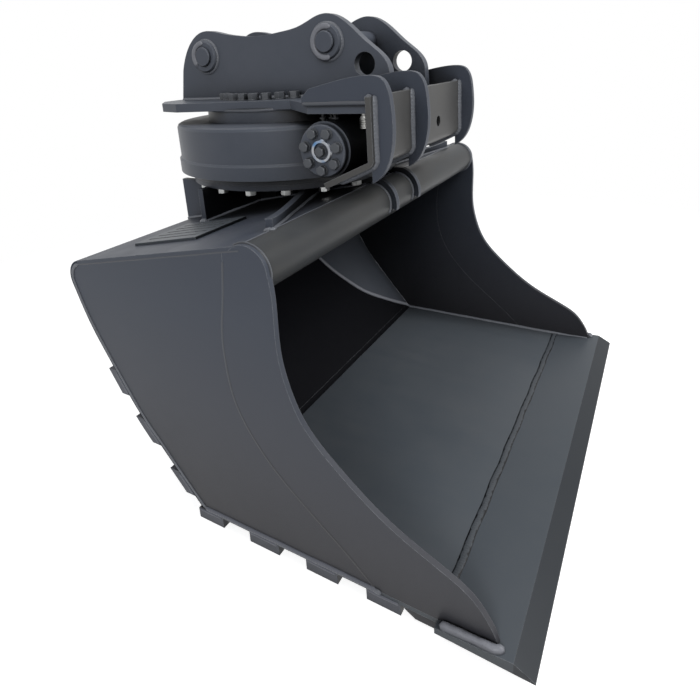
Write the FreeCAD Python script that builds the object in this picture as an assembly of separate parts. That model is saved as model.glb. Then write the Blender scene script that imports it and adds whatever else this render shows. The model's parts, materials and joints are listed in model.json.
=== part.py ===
import FreeCAD, Part
import math
import os

# Rotating grading bucket, millimetres, Z up, open front toward minus Y.
# X is the width and the ground is Z = 0. Every piece is drawn about the slewing
# axis at X = Y = 0, and moved back by axis_y when it is written.

# driving dimensions of the bucket
width = 1500.0
side_t = 16.0
shell_t = 12.0
wear_t = 34.0
floor_z = wear_t + shell_t
tube_r = 63.5
tube_wall = 10.0
nose_r = 66.0
tube_y = -374.0
tube_z = 845.0
heel_y = -103.0
floor_end_y = -935.0
floor_seam_y = -837.0
blade_tip_y = -1063.0
blade_tip_t = 4.0
blade_tip_low_z = 24.0
blade_rear_low_z = 30.0
blade_overhang = 22.0
blade_bevel_y = -1016.0
blade_rise = 8.0
strip_rear_y = -753.0
strip_ramp = 28.0
strip_low_z = 12.0
cutter_toe_y = -978.0
back_top_y = 330.0
back_points = [(272.0, 585.0), (118.0, 312.0), (heel_y, floor_z)]
back_bends = [48.0, 700.0, 900.0, 26.0]
back_wear_t = 28.0
wear_width = 100.0
corner_t = 6.0
corner_curve = [(734.0, 52.0), (613.0, 126.0), (490.0, 219.0), (414.0, 316.0), (367.0, 385.0),
                (334.0, 455.0), (312.0, 530.0), (298.0, 625.0)]
back_wear_z = [(357.0, 434.0), (212.0, 288.0), (72.0, 140.0)]
floor_wear_y = [(-170.0, -74.0), (-374.0, -270.0), (-563.0, -465.0), (-742.0, -648.0)]
front_curve = [(-440.0, 845.0), (-446.0, 772.0), (-444.0, 700.0), (-446.0, 629.0), (-459.0, 562.0),
               (-499.0, 463.0), (-582.0, 370.0), (-728.0, 256.0), (-858.0, 190.0), (-919.0, 152.0),
               (-951.0, 112.0), (-970.0, 76.0)]
seam_curve = [(-309.0, 862.0), (-292.0, 759.0), (-276.0, 674.0), (-272.0, 583.0), (-283.0, 486.0),
              (-441.0, 251.0), (-553.0, 158.0), (-650.0, 72.0), (-676.0, 46.0)]

# driving dimensions of the slewing drive, all radii following the housing
axis_y = 326.0
housing_r = 411.0
housing_wall = 27.0
housing_step = 6.0
tooth_room = 34.0
worm_pitch_r = 45.0
ring_body_inset = 5.0
flange_inset = 40.0
bolt_inset = 28.0
hub_inset = 65.0
hub_wall = 85.0
hub_seat_step = 10.0
keeper_step = 15.0
hitch_bolt_inset = 53.0
body_gap = 3.0
retaining_gap = 0.6
running_clearance = 0.05
housing_step_z = 1008.0
housing_top_z = 1127.0
flange_low_z = 943.0
flange_t = 19.0
housing_low_z = flange_low_z + flange_t + body_gap
gear_teeth = 70
gear_width = 46.0
tooth_share = 0.36
worm_z = 1071.0
lower_bolt_count = 18
lower_bolt_head = 27.0
worm_half_len = 120.0
journal_r = 25.0
journal_left = 330.0
journal_right = 250.0
housing_step_r = housing_r - housing_step
cavity_r = housing_r - housing_wall
gear_module = 2.0 * (cavity_r - tooth_room) / gear_teeth
gear_pitch_r = gear_module * gear_teeth / 2.0
worm_distance = gear_pitch_r + worm_pitch_r
ring_body_r = gear_pitch_r - ring_body_inset
flange_r = housing_r - flange_inset
bolt_circle_r = flange_r - bolt_inset
hub_r = gear_pitch_r - hub_inset
hub_bore_r = hub_r - hub_wall
hub_seat_r = hub_r + hub_seat_step
keeper_r = hub_r + keeper_step

# driving dimensions of the pedestal
pedestal_ring_t = 18.0
web_t = 20.0
web_x = 90.0
web_rear_y = 316.0
hook_r = 86.0
moon_r = 62.0
moon_y = -30.0
cross_x = 387.0
cross_y = 104.0
rear_side_x = 262.0
wing_ring_end = (225.0, -200.0)
wing_toe_end = (625.0, -358.0)
wing_crest = [(0.0, 925.0), (0.1, 921.0), (0.24, 918.0), (0.4, 918.5), (0.53, 920.0), (0.66, 922.5),
              (0.78, 926.0), (0.9, 931.0), (1.0, 937.0)]
cover_x = (110.0 - width / 2.0, 320.0 - width / 2.0)
cover_y = (-110.0, 150.0)
cover_t = 8.0
cover_grooves = 5

# driving dimensions of the hitch
hitch_plate_low_z = 1168.0
hitch_plate_t = 28.0
hitch_bolt_circle_r = hub_r - hitch_bolt_inset
hitch_bolt_count = 32
ear_outer_x = 150.0
ear_t = 30.0
pin_r = 32.5
pin_clearance = 0.1
rear_pin = (239.0, 1343.0)
front_pin = (-268.0, 1360.0)
lifting_hole = (-394.0, 1288.0)
lifting_hole_r = 35.0
guard_face_y = -556.0
guard_t = 16.0
guard_near_x = -429.0
guard_far_x = 262.0
guard_rib_x = (-400.0, -168.0, 238.0)
guard_rib_t = 18.0
guard_lip_end = (-407.0, 970.0)
guard_low_z = 1037.0
guard_top_z = 1212.0
guard_rib_curve = [(-360.0, 1235.0), (-430.0, 1250.0), (-496.0, 1261.0), (-547.0, 1263.0), (-576.0, 1255.0),
                   (-592.0, 1234.0), (-602.0, 1188.0), (-605.0, 1128.0), (-598.0, 1072.0), (-583.0, 1030.0),
                   (-560.0, 1001.0), (-525.0, 981.0), (-470.0, 962.0)]
ear_curve = [(363.0, 1300.0), (339.0, 1353.0), (301.0, 1399.0), (257.0, 1424.0), (210.0, 1427.0),
             (157.0, 1415.0), (97.0, 1404.0), (37.0, 1397.0), (-22.0, 1396.0), (-95.0, 1402.0),
             (-158.0, 1411.0), (-197.0, 1424.0), (-235.0, 1438.0), (-278.0, 1441.0), (-312.0, 1428.0),
             (-348.0, 1402.0), (-398.0, 1356.0), (-440.0, 1322.0), (-463.0, 1297.0), (-476.0, 1262.0)]
ear_rear_y = 385.0
collar_r = 54.0
collar_t = 14.0
pin_stand_out = 9.0

# driving dimensions of the worm drive casing
casing_r = 78.0
casing_left = -398.0
casing_right = 300.0
casing_bore_r = 57.0
casing_fill_x = 215.0
cap_r = 72.0
cap_t = 20.0
cap_ring_r = 33.0
cap_bolt_circle_r = 52.0
cap_bolt_count = 7
motor_r = 48.0
motor_end = 452.0

os.makedirs("parts", exist_ok=True)
hitch_top_z = hitch_plate_low_z + hitch_plate_t
half = width / 2.0
inner_half = half - side_t


def vec(x, y, z):
    return FreeCAD.Vector(x, y, z)


def save(name, shape):
    """Write one piece, moved so that the origin lies under the middle of the whole."""
    placed = shape.copy()
    placed.translate(vec(0, axis_y, 0))
    placed.exportStep("parts/" + name + ".step")


def slab_x(points, x0, x1):
    """Extrude a closed outline of (y, z) points along X."""
    corners = [vec(x0, y, z) for y, z in points]
    return Part.Face(Part.makePolygon(corners + [corners[0]])).extrude(vec(x1 - x0, 0, 0))


def slab_y(points, y0, y1):
    corners = [vec(x, y0, z) for x, z in points]
    wire = Part.makePolygon(corners + [corners[0]])
    return Part.Face(wire).extrude(vec(0, y1 - y0, 0))


def slab_z(points, z0, z1):
    corners = [vec(x, y, z0) for x, y in points]
    wire = Part.makePolygon(corners + [corners[0]])
    return Part.Face(wire).extrude(vec(0, 0, z1 - z0))


def rod_x(radius, x0, x1, y, z):
    return Part.makeCylinder(radius, x1 - x0, vec(x0, y, z), vec(1, 0, 0))


def rod_y(radius, y0, y1, x, z):
    return Part.makeCylinder(radius, y1 - y0, vec(x, y0, z), vec(0, 1, 0))


def rod_z(radius, z0, z1, x=0.0, y=0.0):
    return Part.makeCylinder(radius, z1 - z0, vec(x, y, z0), vec(0, 0, 1))


def ring_z(outer, inner, z0, z1):
    return rod_z(outer, z0, z1).cut(rod_z(inner, z0 - 1, z1 + 1))


def revolve_z(profile):
    """Turn a closed outline of (radius, z) points about the slewing axis."""
    corners = [vec(r, 0, z) for r, z in profile]
    face = Part.Face(Part.makePolygon(corners + [corners[0]]))
    return face.revolve(vec(0, 0, 0), vec(0, 0, 1), 360)


def revolve_x(profile, y, z):
    """Turn a closed outline of (x, radius) points about a line along X."""
    corners = [vec(x, y, z + r) for x, r in profile]
    face = Part.Face(Part.makePolygon(corners + [corners[0]]))
    return face.revolve(vec(0, y, z), vec(1, 0, 0), 360)


def hex_bolt(head, height, axis, place):
    """Hexagon head with a turned washer face, standing on place along axis."""
    corners = []
    for i in range(7):
        a = math.radians(60 * i + 15)
        corners.append(vec(head / math.sqrt(3) * math.cos(a), head / math.sqrt(3) * math.sin(a), 3.0))
    body = Part.Face(Part.makePolygon(corners)).extrude(vec(0, 0, height))
    bolt = body.fuse(Part.makeCylinder(head * 0.6, 3.0)).removeSplitter()
    bolt.Placement = FreeCAD.Placement(place, FreeCAD.Rotation(vec(0, 0, 1), axis))
    return bolt


def bend_arc(before, corner, after, radius, shift):
    """Arc of a bent sheet at one corner, moved out by shift from the inner line."""
    ax, ay = corner[0] - before[0], corner[1] - before[1]
    bx, by = after[0] - corner[0], after[1] - corner[1]
    la, lb = math.hypot(ax, ay), math.hypot(bx, by)
    ax, ay, bx, by = ax / la, ay / la, bx / lb, by / lb
    turn = math.acos(max(-1.0, min(1.0, ax * bx + ay * by)))
    reach = radius * math.tan(turn / 2.0)
    side = -1.0 if ax * by - ay * bx < 0 else 1.0
    sx, sy = corner[0] - ax * reach, corner[1] - ay * reach
    cx, cy = sx - side * ay * radius, sy + side * ax * radius
    mx, my = corner[0] - cx, corner[1] - cy
    lm = math.hypot(mx, my)
    ex, ey = corner[0] + bx * reach, corner[1] + by * reach
    scale = (radius + shift) / radius
    start = (cx + (sx - cx) * scale, cy + (sy - cy) * scale)
    middle = (cx + mx / lm * (radius + shift), cy + my / lm * (radius + shift))
    end = (cx + (ex - cx) * scale, cy + (ey - cy) * scale)
    return start, middle, end


def to_edges(points_and_arcs, x):
    edges = []
    here = None
    for item in points_and_arcs:
        if len(item) == 2:
            spot = vec(x, item[0], item[1])
            if here is not None and here.distanceToPoint(spot) > 1e-6:
                edges.append(Part.makeLine(here, spot))
            here = spot
            continue
        a, b, c = [vec(x, p[0], p[1]) for p in item]
        if here is not None and here.distanceToPoint(a) > 1e-6:
            edges.append(Part.makeLine(here, a))
        edges.append(Part.Arc(a, b, c).toShape())
        here = c
    return edges


def flip(arcs):
    return [(c, b, a) for a, b, c in reversed(arcs)]


def solid_from(items, x0, x1):
    edges = to_edges(items + [items[0] if len(items[0]) == 2 else items[0][0]], x0)
    wire = Part.Wire(Part.__sortEdges__(edges))
    return Part.Face(wire).extrude(vec(x1 - x0, 0, 0))


# bucket profile: the inner face of the bent shell and the edge of both side plates
top_rise = math.radians(11.0)
top_normal = (math.sin(top_rise), math.cos(top_rise))
tube_top = (tube_y + top_normal[0] * tube_r, tube_z + top_normal[1] * tube_r)
top_start = (tube_top[0] - top_normal[0] * shell_t, tube_top[1] - top_normal[1] * shell_t)
back_top = (back_top_y, top_start[1] - (back_top_y - top_start[0]) * math.tan(top_rise))
path = [top_start, back_top] + back_points + [(floor_end_y, floor_z)]
bends = [0.0] + back_bends + [0.0]


def above_top(y, height=0.0):
    """Height of the upper face of the top plate at depth y."""
    return tube_top[1] - (y - tube_top[0]) * math.tan(top_rise) + height


def bent(first, last, inner=0.0, outer=shell_t):
    """Both faces of the sheet over the bends first to last, as one closed outline."""
    near = [bend_arc(path[i - 1], path[i], path[i + 1], bends[i], inner) for i in range(first, last + 1)]
    far = [bend_arc(path[i - 1], path[i], path[i + 1], bends[i], outer) for i in range(first, last + 1)]
    return near, far


def blade_top(y):
    """Height of the upper face of the cutting edge, which rises from the floor to its bevel."""
    return floor_z + blade_rise * (floor_seam_y - y) / (floor_seam_y - blade_bevel_y)


def shell_plates():
    near, far = bent(1, 4)
    top = solid_from([top_start, near[0][0], far[0][0], tube_top], -half, half)
    top = top.cut(rod_x(tube_r, -half - 1, half + 1, tube_y, tube_z))
    back = solid_from(near[0:3] + [near[3][0], far[3][0]] + flip(far[0:3]), -half, half)
    heel = solid_from([near[3]] + flip([far[3]]), -half, half)
    low = floor_z - shell_t
    floor = slab_x([(near[3][2][0], floor_z), (floor_seam_y, floor_z),
                    (floor_seam_y, low), (near[3][2][0], low)], -half, half)
    return top, back, heel, floor


blade_x = half + blade_overhang
top_plate, back_plate, heel_plate, floor_plate = shell_plates()
cutting_edge = slab_x([(floor_seam_y, blade_rear_low_z), (blade_tip_y, blade_tip_low_z),
                       (blade_tip_y, blade_tip_low_z + blade_tip_t),
                       (blade_bevel_y, blade_top(blade_bevel_y)), (floor_seam_y, floor_z)], -blade_x, blade_x)
strip_top_z = floor_z - shell_t
seam_strip = slab_x([(strip_rear_y, strip_top_z), (strip_rear_y, strip_top_z - 5.0),
                     (strip_rear_y - strip_ramp, strip_low_z), (floor_seam_y, strip_low_z),
                     (floor_seam_y, strip_top_z)], -half, half)


def curve_edge(points, x):
    spline = Part.BSplineCurve()
    spline.interpolate([vec(x, y, z) for y, z in points])
    return spline.toShape()


def side_parts(x0):
    """Rear side plate and front side cutter, butted along their seam."""
    near, far = bent(1, 4)
    seam_top = (seam_curve[0][0], top_start[1] - (seam_curve[0][0] - top_start[0]) * math.tan(top_rise))
    seam = [seam_top] + seam_curve[1:]
    edges = to_edges([seam_top] + near + [seam[-1]], x0) + [curve_edge(seam, x0)]
    main = Part.Face(Part.Wire(Part.__sortEdges__(edges))).extrude(vec(side_t, 0, 0))
    toe = (cutter_toe_y, blade_top(cutter_toe_y))
    edges = to_edges([seam[-1], (floor_seam_y, floor_z), toe], x0) + [curve_edge(front_curve + [toe], x0)]
    edges += to_edges([front_curve[0], top_start, seam_top], x0) + [curve_edge(seam, x0)]
    cutter = Part.Face(Part.Wire(Part.__sortEdges__(edges))).extrude(vec(side_t, 0, 0))
    cutter = cutter.fuse(rod_x(nose_r, x0, x0 + side_t, tube_y, tube_z)).removeSplitter()
    return main, cutter.cut(top_plate)


side_left, cutter_left = side_parts(-half)
side_right, cutter_right = side_parts(inner_half)
tube = rod_x(tube_r, -inner_half, inner_half, tube_y, tube_z)
tube = tube.cut(rod_x(tube_r - tube_wall, -half, half, tube_y, tube_z))


def corner_plate(side):
    """Thin plate that doubles the back in the corner beside a side plate."""
    near, far = bent(2, 3, -corner_t, 0.0)
    low_near, low_far = bent(4, 4, -corner_t, 0.0)
    strip = solid_from(near + [low_near[0][0], low_far[0][0]] + flip(far), -inner_half, inner_half)
    spline = Part.BSplineCurve()
    spline.interpolate([vec(side * x, -400.0, z) for x, z in corner_curve])
    (x0, z0), (x1, z1) = corner_curve[0], corner_curve[-1]
    rim = [vec(side * x1, -400.0, z1), vec(side * inner_half, -400.0, z1), vec(side * inner_half, -400.0, z0)]
    edges = [spline.toShape(), Part.makeLine(rim[0], rim[1]), Part.makeLine(rim[1], rim[2])]
    if abs(x0 - inner_half) > 0.01:
        edges.append(Part.makeLine(rim[2], vec(side * x0, -400.0, z0)))
    wire = Part.Wire(Part.__sortEdges__(edges))
    return strip.common(Part.Face(wire).extrude(vec(0, 900.0, 0)))


# wear blocks in rows under the shell, close to each side plate
near, far = bent(2, 3, shell_t, shell_t + back_wear_t)
low_near, low_far = bent(4, 4, shell_t, shell_t + back_wear_t)


def back_blocks(x0):
    strip = solid_from(near + [low_near[0][0], low_far[0][0]] + flip(far), x0, x0 + wear_width)
    parts = []
    for low, high in back_wear_z:
        parts.append(strip.common(Part.makeBox(wear_width, 900.0, high - low, vec(x0, -400.0, low))))
    return Part.makeCompound(parts)


def floor_blocks(x0):
    parts = []
    for y_front, y_rear in floor_wear_y:
        parts.append(Part.makeBox(wear_width, y_rear - y_front, wear_t, vec(x0, y_front, 0.0)))
    return Part.makeCompound(parts)


# pedestal that carries the slewing ring on the sloping top plate
ring_low_z = flange_low_z - pedestal_ring_t


def web(x_mid):
    """Long web with a half-moon opening and a hook over the front of the tube."""
    x0 = x_mid - web_t / 2.0
    ends = [(web_rear_y, ring_low_z), (tube_y + 40.0, ring_low_z)]
    base = [(tube_y, tube_z), (tube_top[0] + 1.0, above_top(tube_top[0] + 1.0)),
            (web_rear_y, above_top(web_rear_y))]
    body = slab_x(ends + base, x0, x0 + web_t)
    hook = rod_x(hook_r, x0, x0 + web_t, tube_y, tube_z)
    hook = hook.common(slab_x([(tube_y + 60.0, tube_z + 30.0), (tube_y + 60.0, ring_low_z + 2.0),
                               (tube_y - 120.0, ring_low_z + 2.0), (tube_y - 120.0, tube_z - 34.0)],
                              x0 - 1, x0 + web_t + 1))
    body = body.fuse(hook).cut(rod_x(tube_r, x0 - 1, x0 + web_t + 1, tube_y, tube_z))
    body = body.cut(rod_z(flange_r + 1.0, ring_low_z, flange_low_z))
    body = body.cut(top_plate)
    return body.cut(rod_x(moon_r, x0 - 1, x0 + web_t + 1, moon_y, above_top(moon_y, -6.0))).cut(top_plate)


web_left, web_right = web(-web_x), web(web_x)


def above_shell(shape, y0, y1):
    """Trim a pedestal plate to the top plate, the tube and both webs."""
    roof = slab_x([(y0, above_top(y0)), (y1, above_top(y1)), (y1, 600.0), (y0, 600.0)], -half, half)
    shape = shape.cut(roof).cut(web_left).cut(web_right)
    return shape.cut(rod_x(tube_r, -half, half, tube_y, tube_z))


rear_cross = above_shell(slab_y([(-cross_x, 760.0), (cross_x, 760.0), (cross_x, ring_low_z),
                                 (-cross_x, ring_low_z)], cross_y, cross_y + web_t),
                         cross_y - 5.0, cross_y + web_t + 5.0)


def wing(side):
    """Low diagonal plate from the web under the ring out to a toe beside the tube."""
    dx, dy = wing_toe_end[0] - wing_ring_end[0], wing_toe_end[1] - wing_ring_end[1]
    length = math.hypot(dx, dy)
    inward = (web_x + web_t / 2.0 - 2.0 - wing_ring_end[0]) / dx * length
    crest = [(share * length, z) for share, z in wing_crest]
    points = [(inward, ring_low_z), (inward, 780.0), (length, 780.0)] + crest[::-1]
    plate = slab_y(points, -web_t / 2.0, web_t / 2.0)
    plate.rotate(vec(0, 0, 0), vec(0, 0, 1), math.degrees(math.atan2(dy, side * dx)))
    plate.translate(vec(side * wing_ring_end[0], wing_ring_end[1], 0))
    return above_shell(plate, -430.0, -100.0)


def top_cover():
    """Thin grooved cover lying on the slope of the top plate."""
    y0, y1 = cover_y
    plate = slab_x([(y0, above_top(y0)), (y1, above_top(y1)), (y1, above_top(y1, cover_t)),
                    (y0, above_top(y0, cover_t))], cover_x[0], cover_x[1])
    step = (cover_x[1] - cover_x[0]) / (cover_grooves + 1)
    for i in range(cover_grooves):
        x = cover_x[0] + step * (i + 1)
        a, b = y0 + 25.0, y1 - 25.0
        plate = plate.cut(slab_x([(a, above_top(a, cover_t - 3.0)), (b, above_top(b, cover_t - 3.0)),
                                  (b, above_top(b, cover_t + 9.0)), (a, above_top(a, cover_t + 9.0))],
                                 x - 4.0, x + 4.0))
    return plate


def rear_side(x_mid):
    """Short side wall of the pedestal behind the cross plate."""
    x0 = x_mid - web_t / 2.0
    y0 = cross_y + web_t
    return slab_x([(y0, above_top(y0)), (y0, ring_low_z), (web_rear_y, ring_low_z),
                   (web_rear_y, above_top(web_rear_y))], x0, x0 + web_t)


pedestal_ring = ring_z(flange_r, keeper_r + body_gap + 2.0, ring_low_z, flange_low_z)
bore_r = hub_r + running_clearance
flange_top_z = flange_low_z + flange_t
gear_low_z = worm_z - gear_width / 2.0
gear_root_r = gear_pitch_r - 1.1 * gear_module
gear_tip_r = gear_pitch_r + 0.8 * gear_module
slew_ring = revolve_z([(bore_r, flange_low_z), (flange_r, flange_low_z), (flange_r, flange_top_z),
                       (ring_body_r, flange_top_z), (ring_body_r, gear_low_z), (bore_r, gear_low_z)])
lower_bolts = []
for i in range(lower_bolt_count):
    a = math.radians(360.0 / lower_bolt_count * (i + 0.5))
    spot = vec(bolt_circle_r * math.cos(a), bolt_circle_r * math.sin(a), ring_low_z)
    lower_bolts.append(hex_bolt(lower_bolt_head, 13.0, vec(0, 0, -1), spot))

# ring gear and worm: one start, so the worm turns once for each tooth
axial_pitch = math.pi * gear_module
half_tooth = axial_pitch * tooth_share / 2.0
flank = math.tan(math.radians(20.0))
lead_slope = axial_pitch / (2.0 * math.pi * worm_pitch_r)


def gear_tooth_wire(z, turn):
    root = half_tooth + flank * 1.1 * gear_module
    tip = half_tooth - flank * 0.8 * gear_module
    corners = []
    base_r = gear_root_r - 2.0
    for r, w in ((base_r, root), (base_r, -root), (gear_tip_r, -tip), (gear_tip_r, tip)):
        a = turn + math.atan2(w, r)
        corners.append(vec(math.hypot(r, w) * math.cos(a), math.hypot(r, w) * math.sin(a), z))
    return Part.makePolygon(corners + [corners[0]])


def make_ring_gear():
    """Teeth slant with the lead of the worm and one of them points at it at rest."""
    rim = ring_z(gear_root_r, bore_r, gear_low_z, gear_low_z + gear_width)
    slant = lead_slope * gear_width / 2.0 / gear_pitch_r
    first = -math.pi / 2.0
    tooth = Part.makeLoft([gear_tooth_wire(gear_low_z, first - slant),
                           gear_tooth_wire(gear_low_z + gear_width, first + slant)], True, True)
    teeth = []
    for i in range(gear_teeth):
        copy = tooth.copy()
        copy.rotate(vec(0, 0, 0), vec(0, 0, 1), 360.0 * i / gear_teeth)
        teeth.append(copy)
    return rim.multiFuse(teeth)


def make_worm():
    root_r = worm_pitch_r - 1.1 * gear_module
    tip_r = worm_pitch_r + 0.8 * gear_module
    turns = 6
    length = turns * axial_pitch
    helix = Part.makeHelix(axial_pitch, length, root_r)
    inner_w = half_tooth + flank * (1.1 * gear_module + 1.5)
    outer_w = half_tooth - flank * 0.8 * gear_module
    corners = [vec(root_r - 1.5, 0, -inner_w), vec(tip_r, 0, -outer_w),
               vec(tip_r, 0, outer_w), vec(root_r - 1.5, 0, inner_w)]
    profile = Part.makePolygon(corners + [corners[0]])
    sweep = Part.BRepOffsetAPI.MakePipeShell(helix)
    sweep.setFrenetMode(True)
    sweep.add(profile)
    sweep.build()
    sweep.makeSolid()
    thread = sweep.shape()
    # the start is set so that a groove of the thread faces the tooth at rest
    thread.translate(vec(0, 0, -length / 2.0 - 0.75 * axial_pitch))
    shaft = Part.makeCylinder(root_r, 2.0 * worm_half_len, vec(0, 0, -worm_half_len))
    shaft = shaft.fuse(thread)
    shaft = shaft.fuse(Part.makeCylinder(journal_r, journal_left + worm_half_len, vec(0, 0, -journal_left)))
    shaft = shaft.fuse(Part.makeCylinder(journal_r, journal_right - worm_half_len, vec(0, 0, worm_half_len)))
    shaft.rotate(vec(0, 0, 0), vec(0, 1, 0), 90)
    return shaft


ring_gear = make_ring_gear()
worm = make_worm()

save("top_plate", top_plate)
save("top_cover", top_cover())
save("back_plate", back_plate)
save("heel_plate", heel_plate)
save("floor_plate", floor_plate)
save("seam_strip", seam_strip)
save("cutting_edge", cutting_edge)
save("corner_plate_left", corner_plate(-1.0))
save("corner_plate_right", corner_plate(1.0))
save("side_plate_left", side_left)
save("side_plate_right", side_right)
save("side_cutter_left", cutter_left)
save("side_cutter_right", cutter_right)
save("torque_tube", tube)
save("wear_blocks_back_left", back_blocks(-half))
save("wear_blocks_back_right", back_blocks(half - wear_width))
save("wear_blocks_floor_left", floor_blocks(-half))
save("wear_blocks_floor_right", floor_blocks(half - wear_width))
save("pedestal_web_left", web_left)
save("pedestal_web_right", web_right)
save("pedestal_cross_plate", rear_cross)
save("pedestal_rear_side_left", rear_side(-rear_side_x))
save("pedestal_rear_side_right", rear_side(rear_side_x))
save("pedestal_wing_left", wing(-1.0))
save("pedestal_wing_right", wing(1.0))
save("pedestal_ring", pedestal_ring)
save("slew_ring", slew_ring)
save("ring_gear", ring_gear)
save("lower_bolts", Part.makeCompound(lower_bolts))

# housing of the slewing drive round its hub, open toward the worm
housing = revolve_z([(cavity_r, housing_low_z), (housing_r, housing_low_z), (housing_r, housing_step_z),
                     (housing_step_r, housing_step_z + 6.0), (housing_step_r, housing_top_z - 12.0),
                     (housing_step_r - 4.0, housing_top_z - 4.0), (housing_step_r - 12.0, housing_top_z),
                     (hub_seat_r, housing_top_z), (hub_seat_r, housing_top_z - 20.0),
                     (cavity_r, housing_top_z - 20.0)])
hub_top_z = housing_top_z - 20.0
keeper_low_z = ring_low_z + body_gap
keeper_top_z = flange_low_z - retaining_gap
hub = ring_z(hub_r, hub_bore_r, keeper_top_z, hub_top_z)
hub_flange = ring_z(hub_seat_r, hub_bore_r, hub_top_z, hitch_plate_low_z)
retaining_ring = ring_z(keeper_r, hub_bore_r, keeper_low_z, keeper_top_z)
housing = housing.cut(rod_x(casing_bore_r, casing_left, casing_right, -worm_distance, worm_z))

casing = rod_x(casing_r, casing_left, casing_right, -worm_distance, worm_z)
fill = slab_y([(-casing_fill_x, worm_z - casing_r + 14.0), (casing_fill_x, worm_z - casing_r + 14.0),
               (casing_fill_x, worm_z + casing_r - 12.0), (-casing_fill_x, worm_z + casing_r - 12.0)],
              -worm_distance, -250.0)
shoulders = [e for e in fill.Edges if abs(e.BoundBox.YLength - e.Length) < 0.01
             and e.BoundBox.ZMin > worm_z]
fill = fill.makeFillet(42.0, shoulders)
casing = casing.fuse(fill).cut(rod_z(housing_r, housing_low_z, housing_step_z))
casing = casing.cut(housing).cut(hub_flange)
casing = casing.cut(rod_z(housing_step_r - 2.0, housing_step_z - 1.0, housing_top_z))
casing = casing.cut(rod_x(casing_bore_r, casing_left - 1, casing_right + 1, -worm_distance, worm_z))
if len(casing.Solids) > 1:
    casing = max(casing.Solids, key=lambda piece: piece.Volume)


def worm_bearing(x0):
    inner = journal_r + running_clearance
    return revolve_x([(x0, inner), (x0 + 40.0, inner), (x0 + 40.0, casing_bore_r), (x0, casing_bore_r)],
                     -worm_distance, worm_z)


bearing_left = worm_bearing(-journal_left + 6.0)
bearing_right = worm_bearing(journal_right - 46.0)
worm.translate(vec(0, -worm_distance, worm_z))

# end cap of the worm casing with its bolts, its bright ring and the bolt in the middle
cap_face_x = casing_left - cap_t
end_cap = revolve_x([(casing_left, 0.0), (casing_left, cap_r), (cap_face_x + 3.0, cap_r),
                     (cap_face_x, cap_r - 3.0), (cap_face_x, 0.0)], -worm_distance, worm_z)
cap_ring = revolve_x([(cap_face_x, 20.0), (cap_face_x, cap_ring_r), (cap_face_x - 5.0, cap_ring_r - 3.0),
                      (cap_face_x - 5.0, 23.0)], -worm_distance, worm_z)
cap_bolts = []
for i in range(cap_bolt_count):
    a = math.radians(360.0 / cap_bolt_count * i - 90.0)
    spot = vec(cap_face_x, cap_bolt_circle_r * math.cos(a) - worm_distance,
               cap_bolt_circle_r * math.sin(a) + worm_z)
    cap_bolts.append(hex_bolt(18.0, 11.0, vec(-1, 0, 0), spot))
centre_bolt = hex_bolt(26.0, 12.0, vec(-1, 0, 0), vec(cap_face_x, -worm_distance, worm_z))

# hydraulic motor on the far end of the worm casing
motor_plate = slab_x([(-worm_distance - 66.0, worm_z - 66.0), (-worm_distance + 60.0, worm_z - 66.0),
                      (-worm_distance + 60.0, worm_z + 66.0), (-worm_distance - 66.0, worm_z + 66.0)],
                     casing_right, casing_right + 22.0)
motor_plate = motor_plate.makeFillet(14.0, [e for e in motor_plate.Edges if e.Length < 22.5])
motor_body = revolve_x([(casing_right + 22.0, 0.0), (casing_right + 22.0, motor_r + 6.0),
                        (casing_right + 40.0, motor_r + 6.0), (casing_right + 44.0, motor_r),
                        (motor_end - 6.0, motor_r), (motor_end, motor_r - 6.0), (motor_end, 0.0)],
                       -worm_distance, worm_z)
port_block = Part.makeBox(62.0, 50.0, 26.0,
                          vec(casing_right + 56.0, -worm_distance - 25.0, worm_z + motor_r - 8.0))
port_block = port_block.cut(rod_x(motor_r, casing_right, motor_end, -worm_distance, worm_z))
ports = []
for x in (casing_right + 72.0, casing_right + 102.0):
    top = worm_z + motor_r + 18.0
    port = Part.makeCylinder(11.0, 16.0, vec(x, -worm_distance, top))
    port = port.fuse(Part.makeCone(13.0, 11.0, 6.0, vec(x, -worm_distance, top + 8.0)))
    ports.append(port.cut(Part.makeCylinder(6.0, 30.0, vec(x, -worm_distance, top - 1.0))))

# hitch plate with its ring of bolts
hitch_plate = slab_z([(-398.0, -540.0), (-398.0, -345.0), (-262.0, -190.0), (-300.0, 60.0), (-330.0, 232.0),
                      (-300.0, 330.0), (-215.0, 410.0), (215.0, 410.0), (300.0, 330.0), (300.0, -190.0),
                      (guard_far_x, -345.0), (guard_far_x, -540.0)], hitch_plate_low_z, hitch_top_z)
ear_inner_x = ear_outer_x - ear_t
hitch_bolts = []
for i in range(hitch_bolt_count):
    a = math.radians(360.0 / hitch_bolt_count * (i + 0.5))
    x, y = hitch_bolt_circle_r * math.cos(a), hitch_bolt_circle_r * math.sin(a)
    if abs(abs(x) - (ear_outer_x - ear_t / 2.0)) > ear_t / 2.0 + 20.0:
        hitch_bolts.append(hex_bolt(24.0, 13.0, vec(0, 0, 1), vec(x, y, hitch_top_z)))


def ear(x0):
    edges = to_edges([ear_curve[-1], (ear_curve[-1][0] - 3.0, hitch_top_z), (ear_rear_y, hitch_top_z),
                      ear_curve[0]], x0) + [curve_edge(ear_curve, x0)]
    plate = Part.Face(Part.Wire(Part.__sortEdges__(edges))).extrude(vec(ear_t, 0, 0))
    for (y, z), r in ((rear_pin, pin_r + pin_clearance), (front_pin, pin_r + pin_clearance),
                      (lifting_hole, lifting_hole_r)):
        plate = plate.cut(rod_x(r, x0 - 1, x0 + ear_t + 1, y, z))
    return plate


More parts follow.
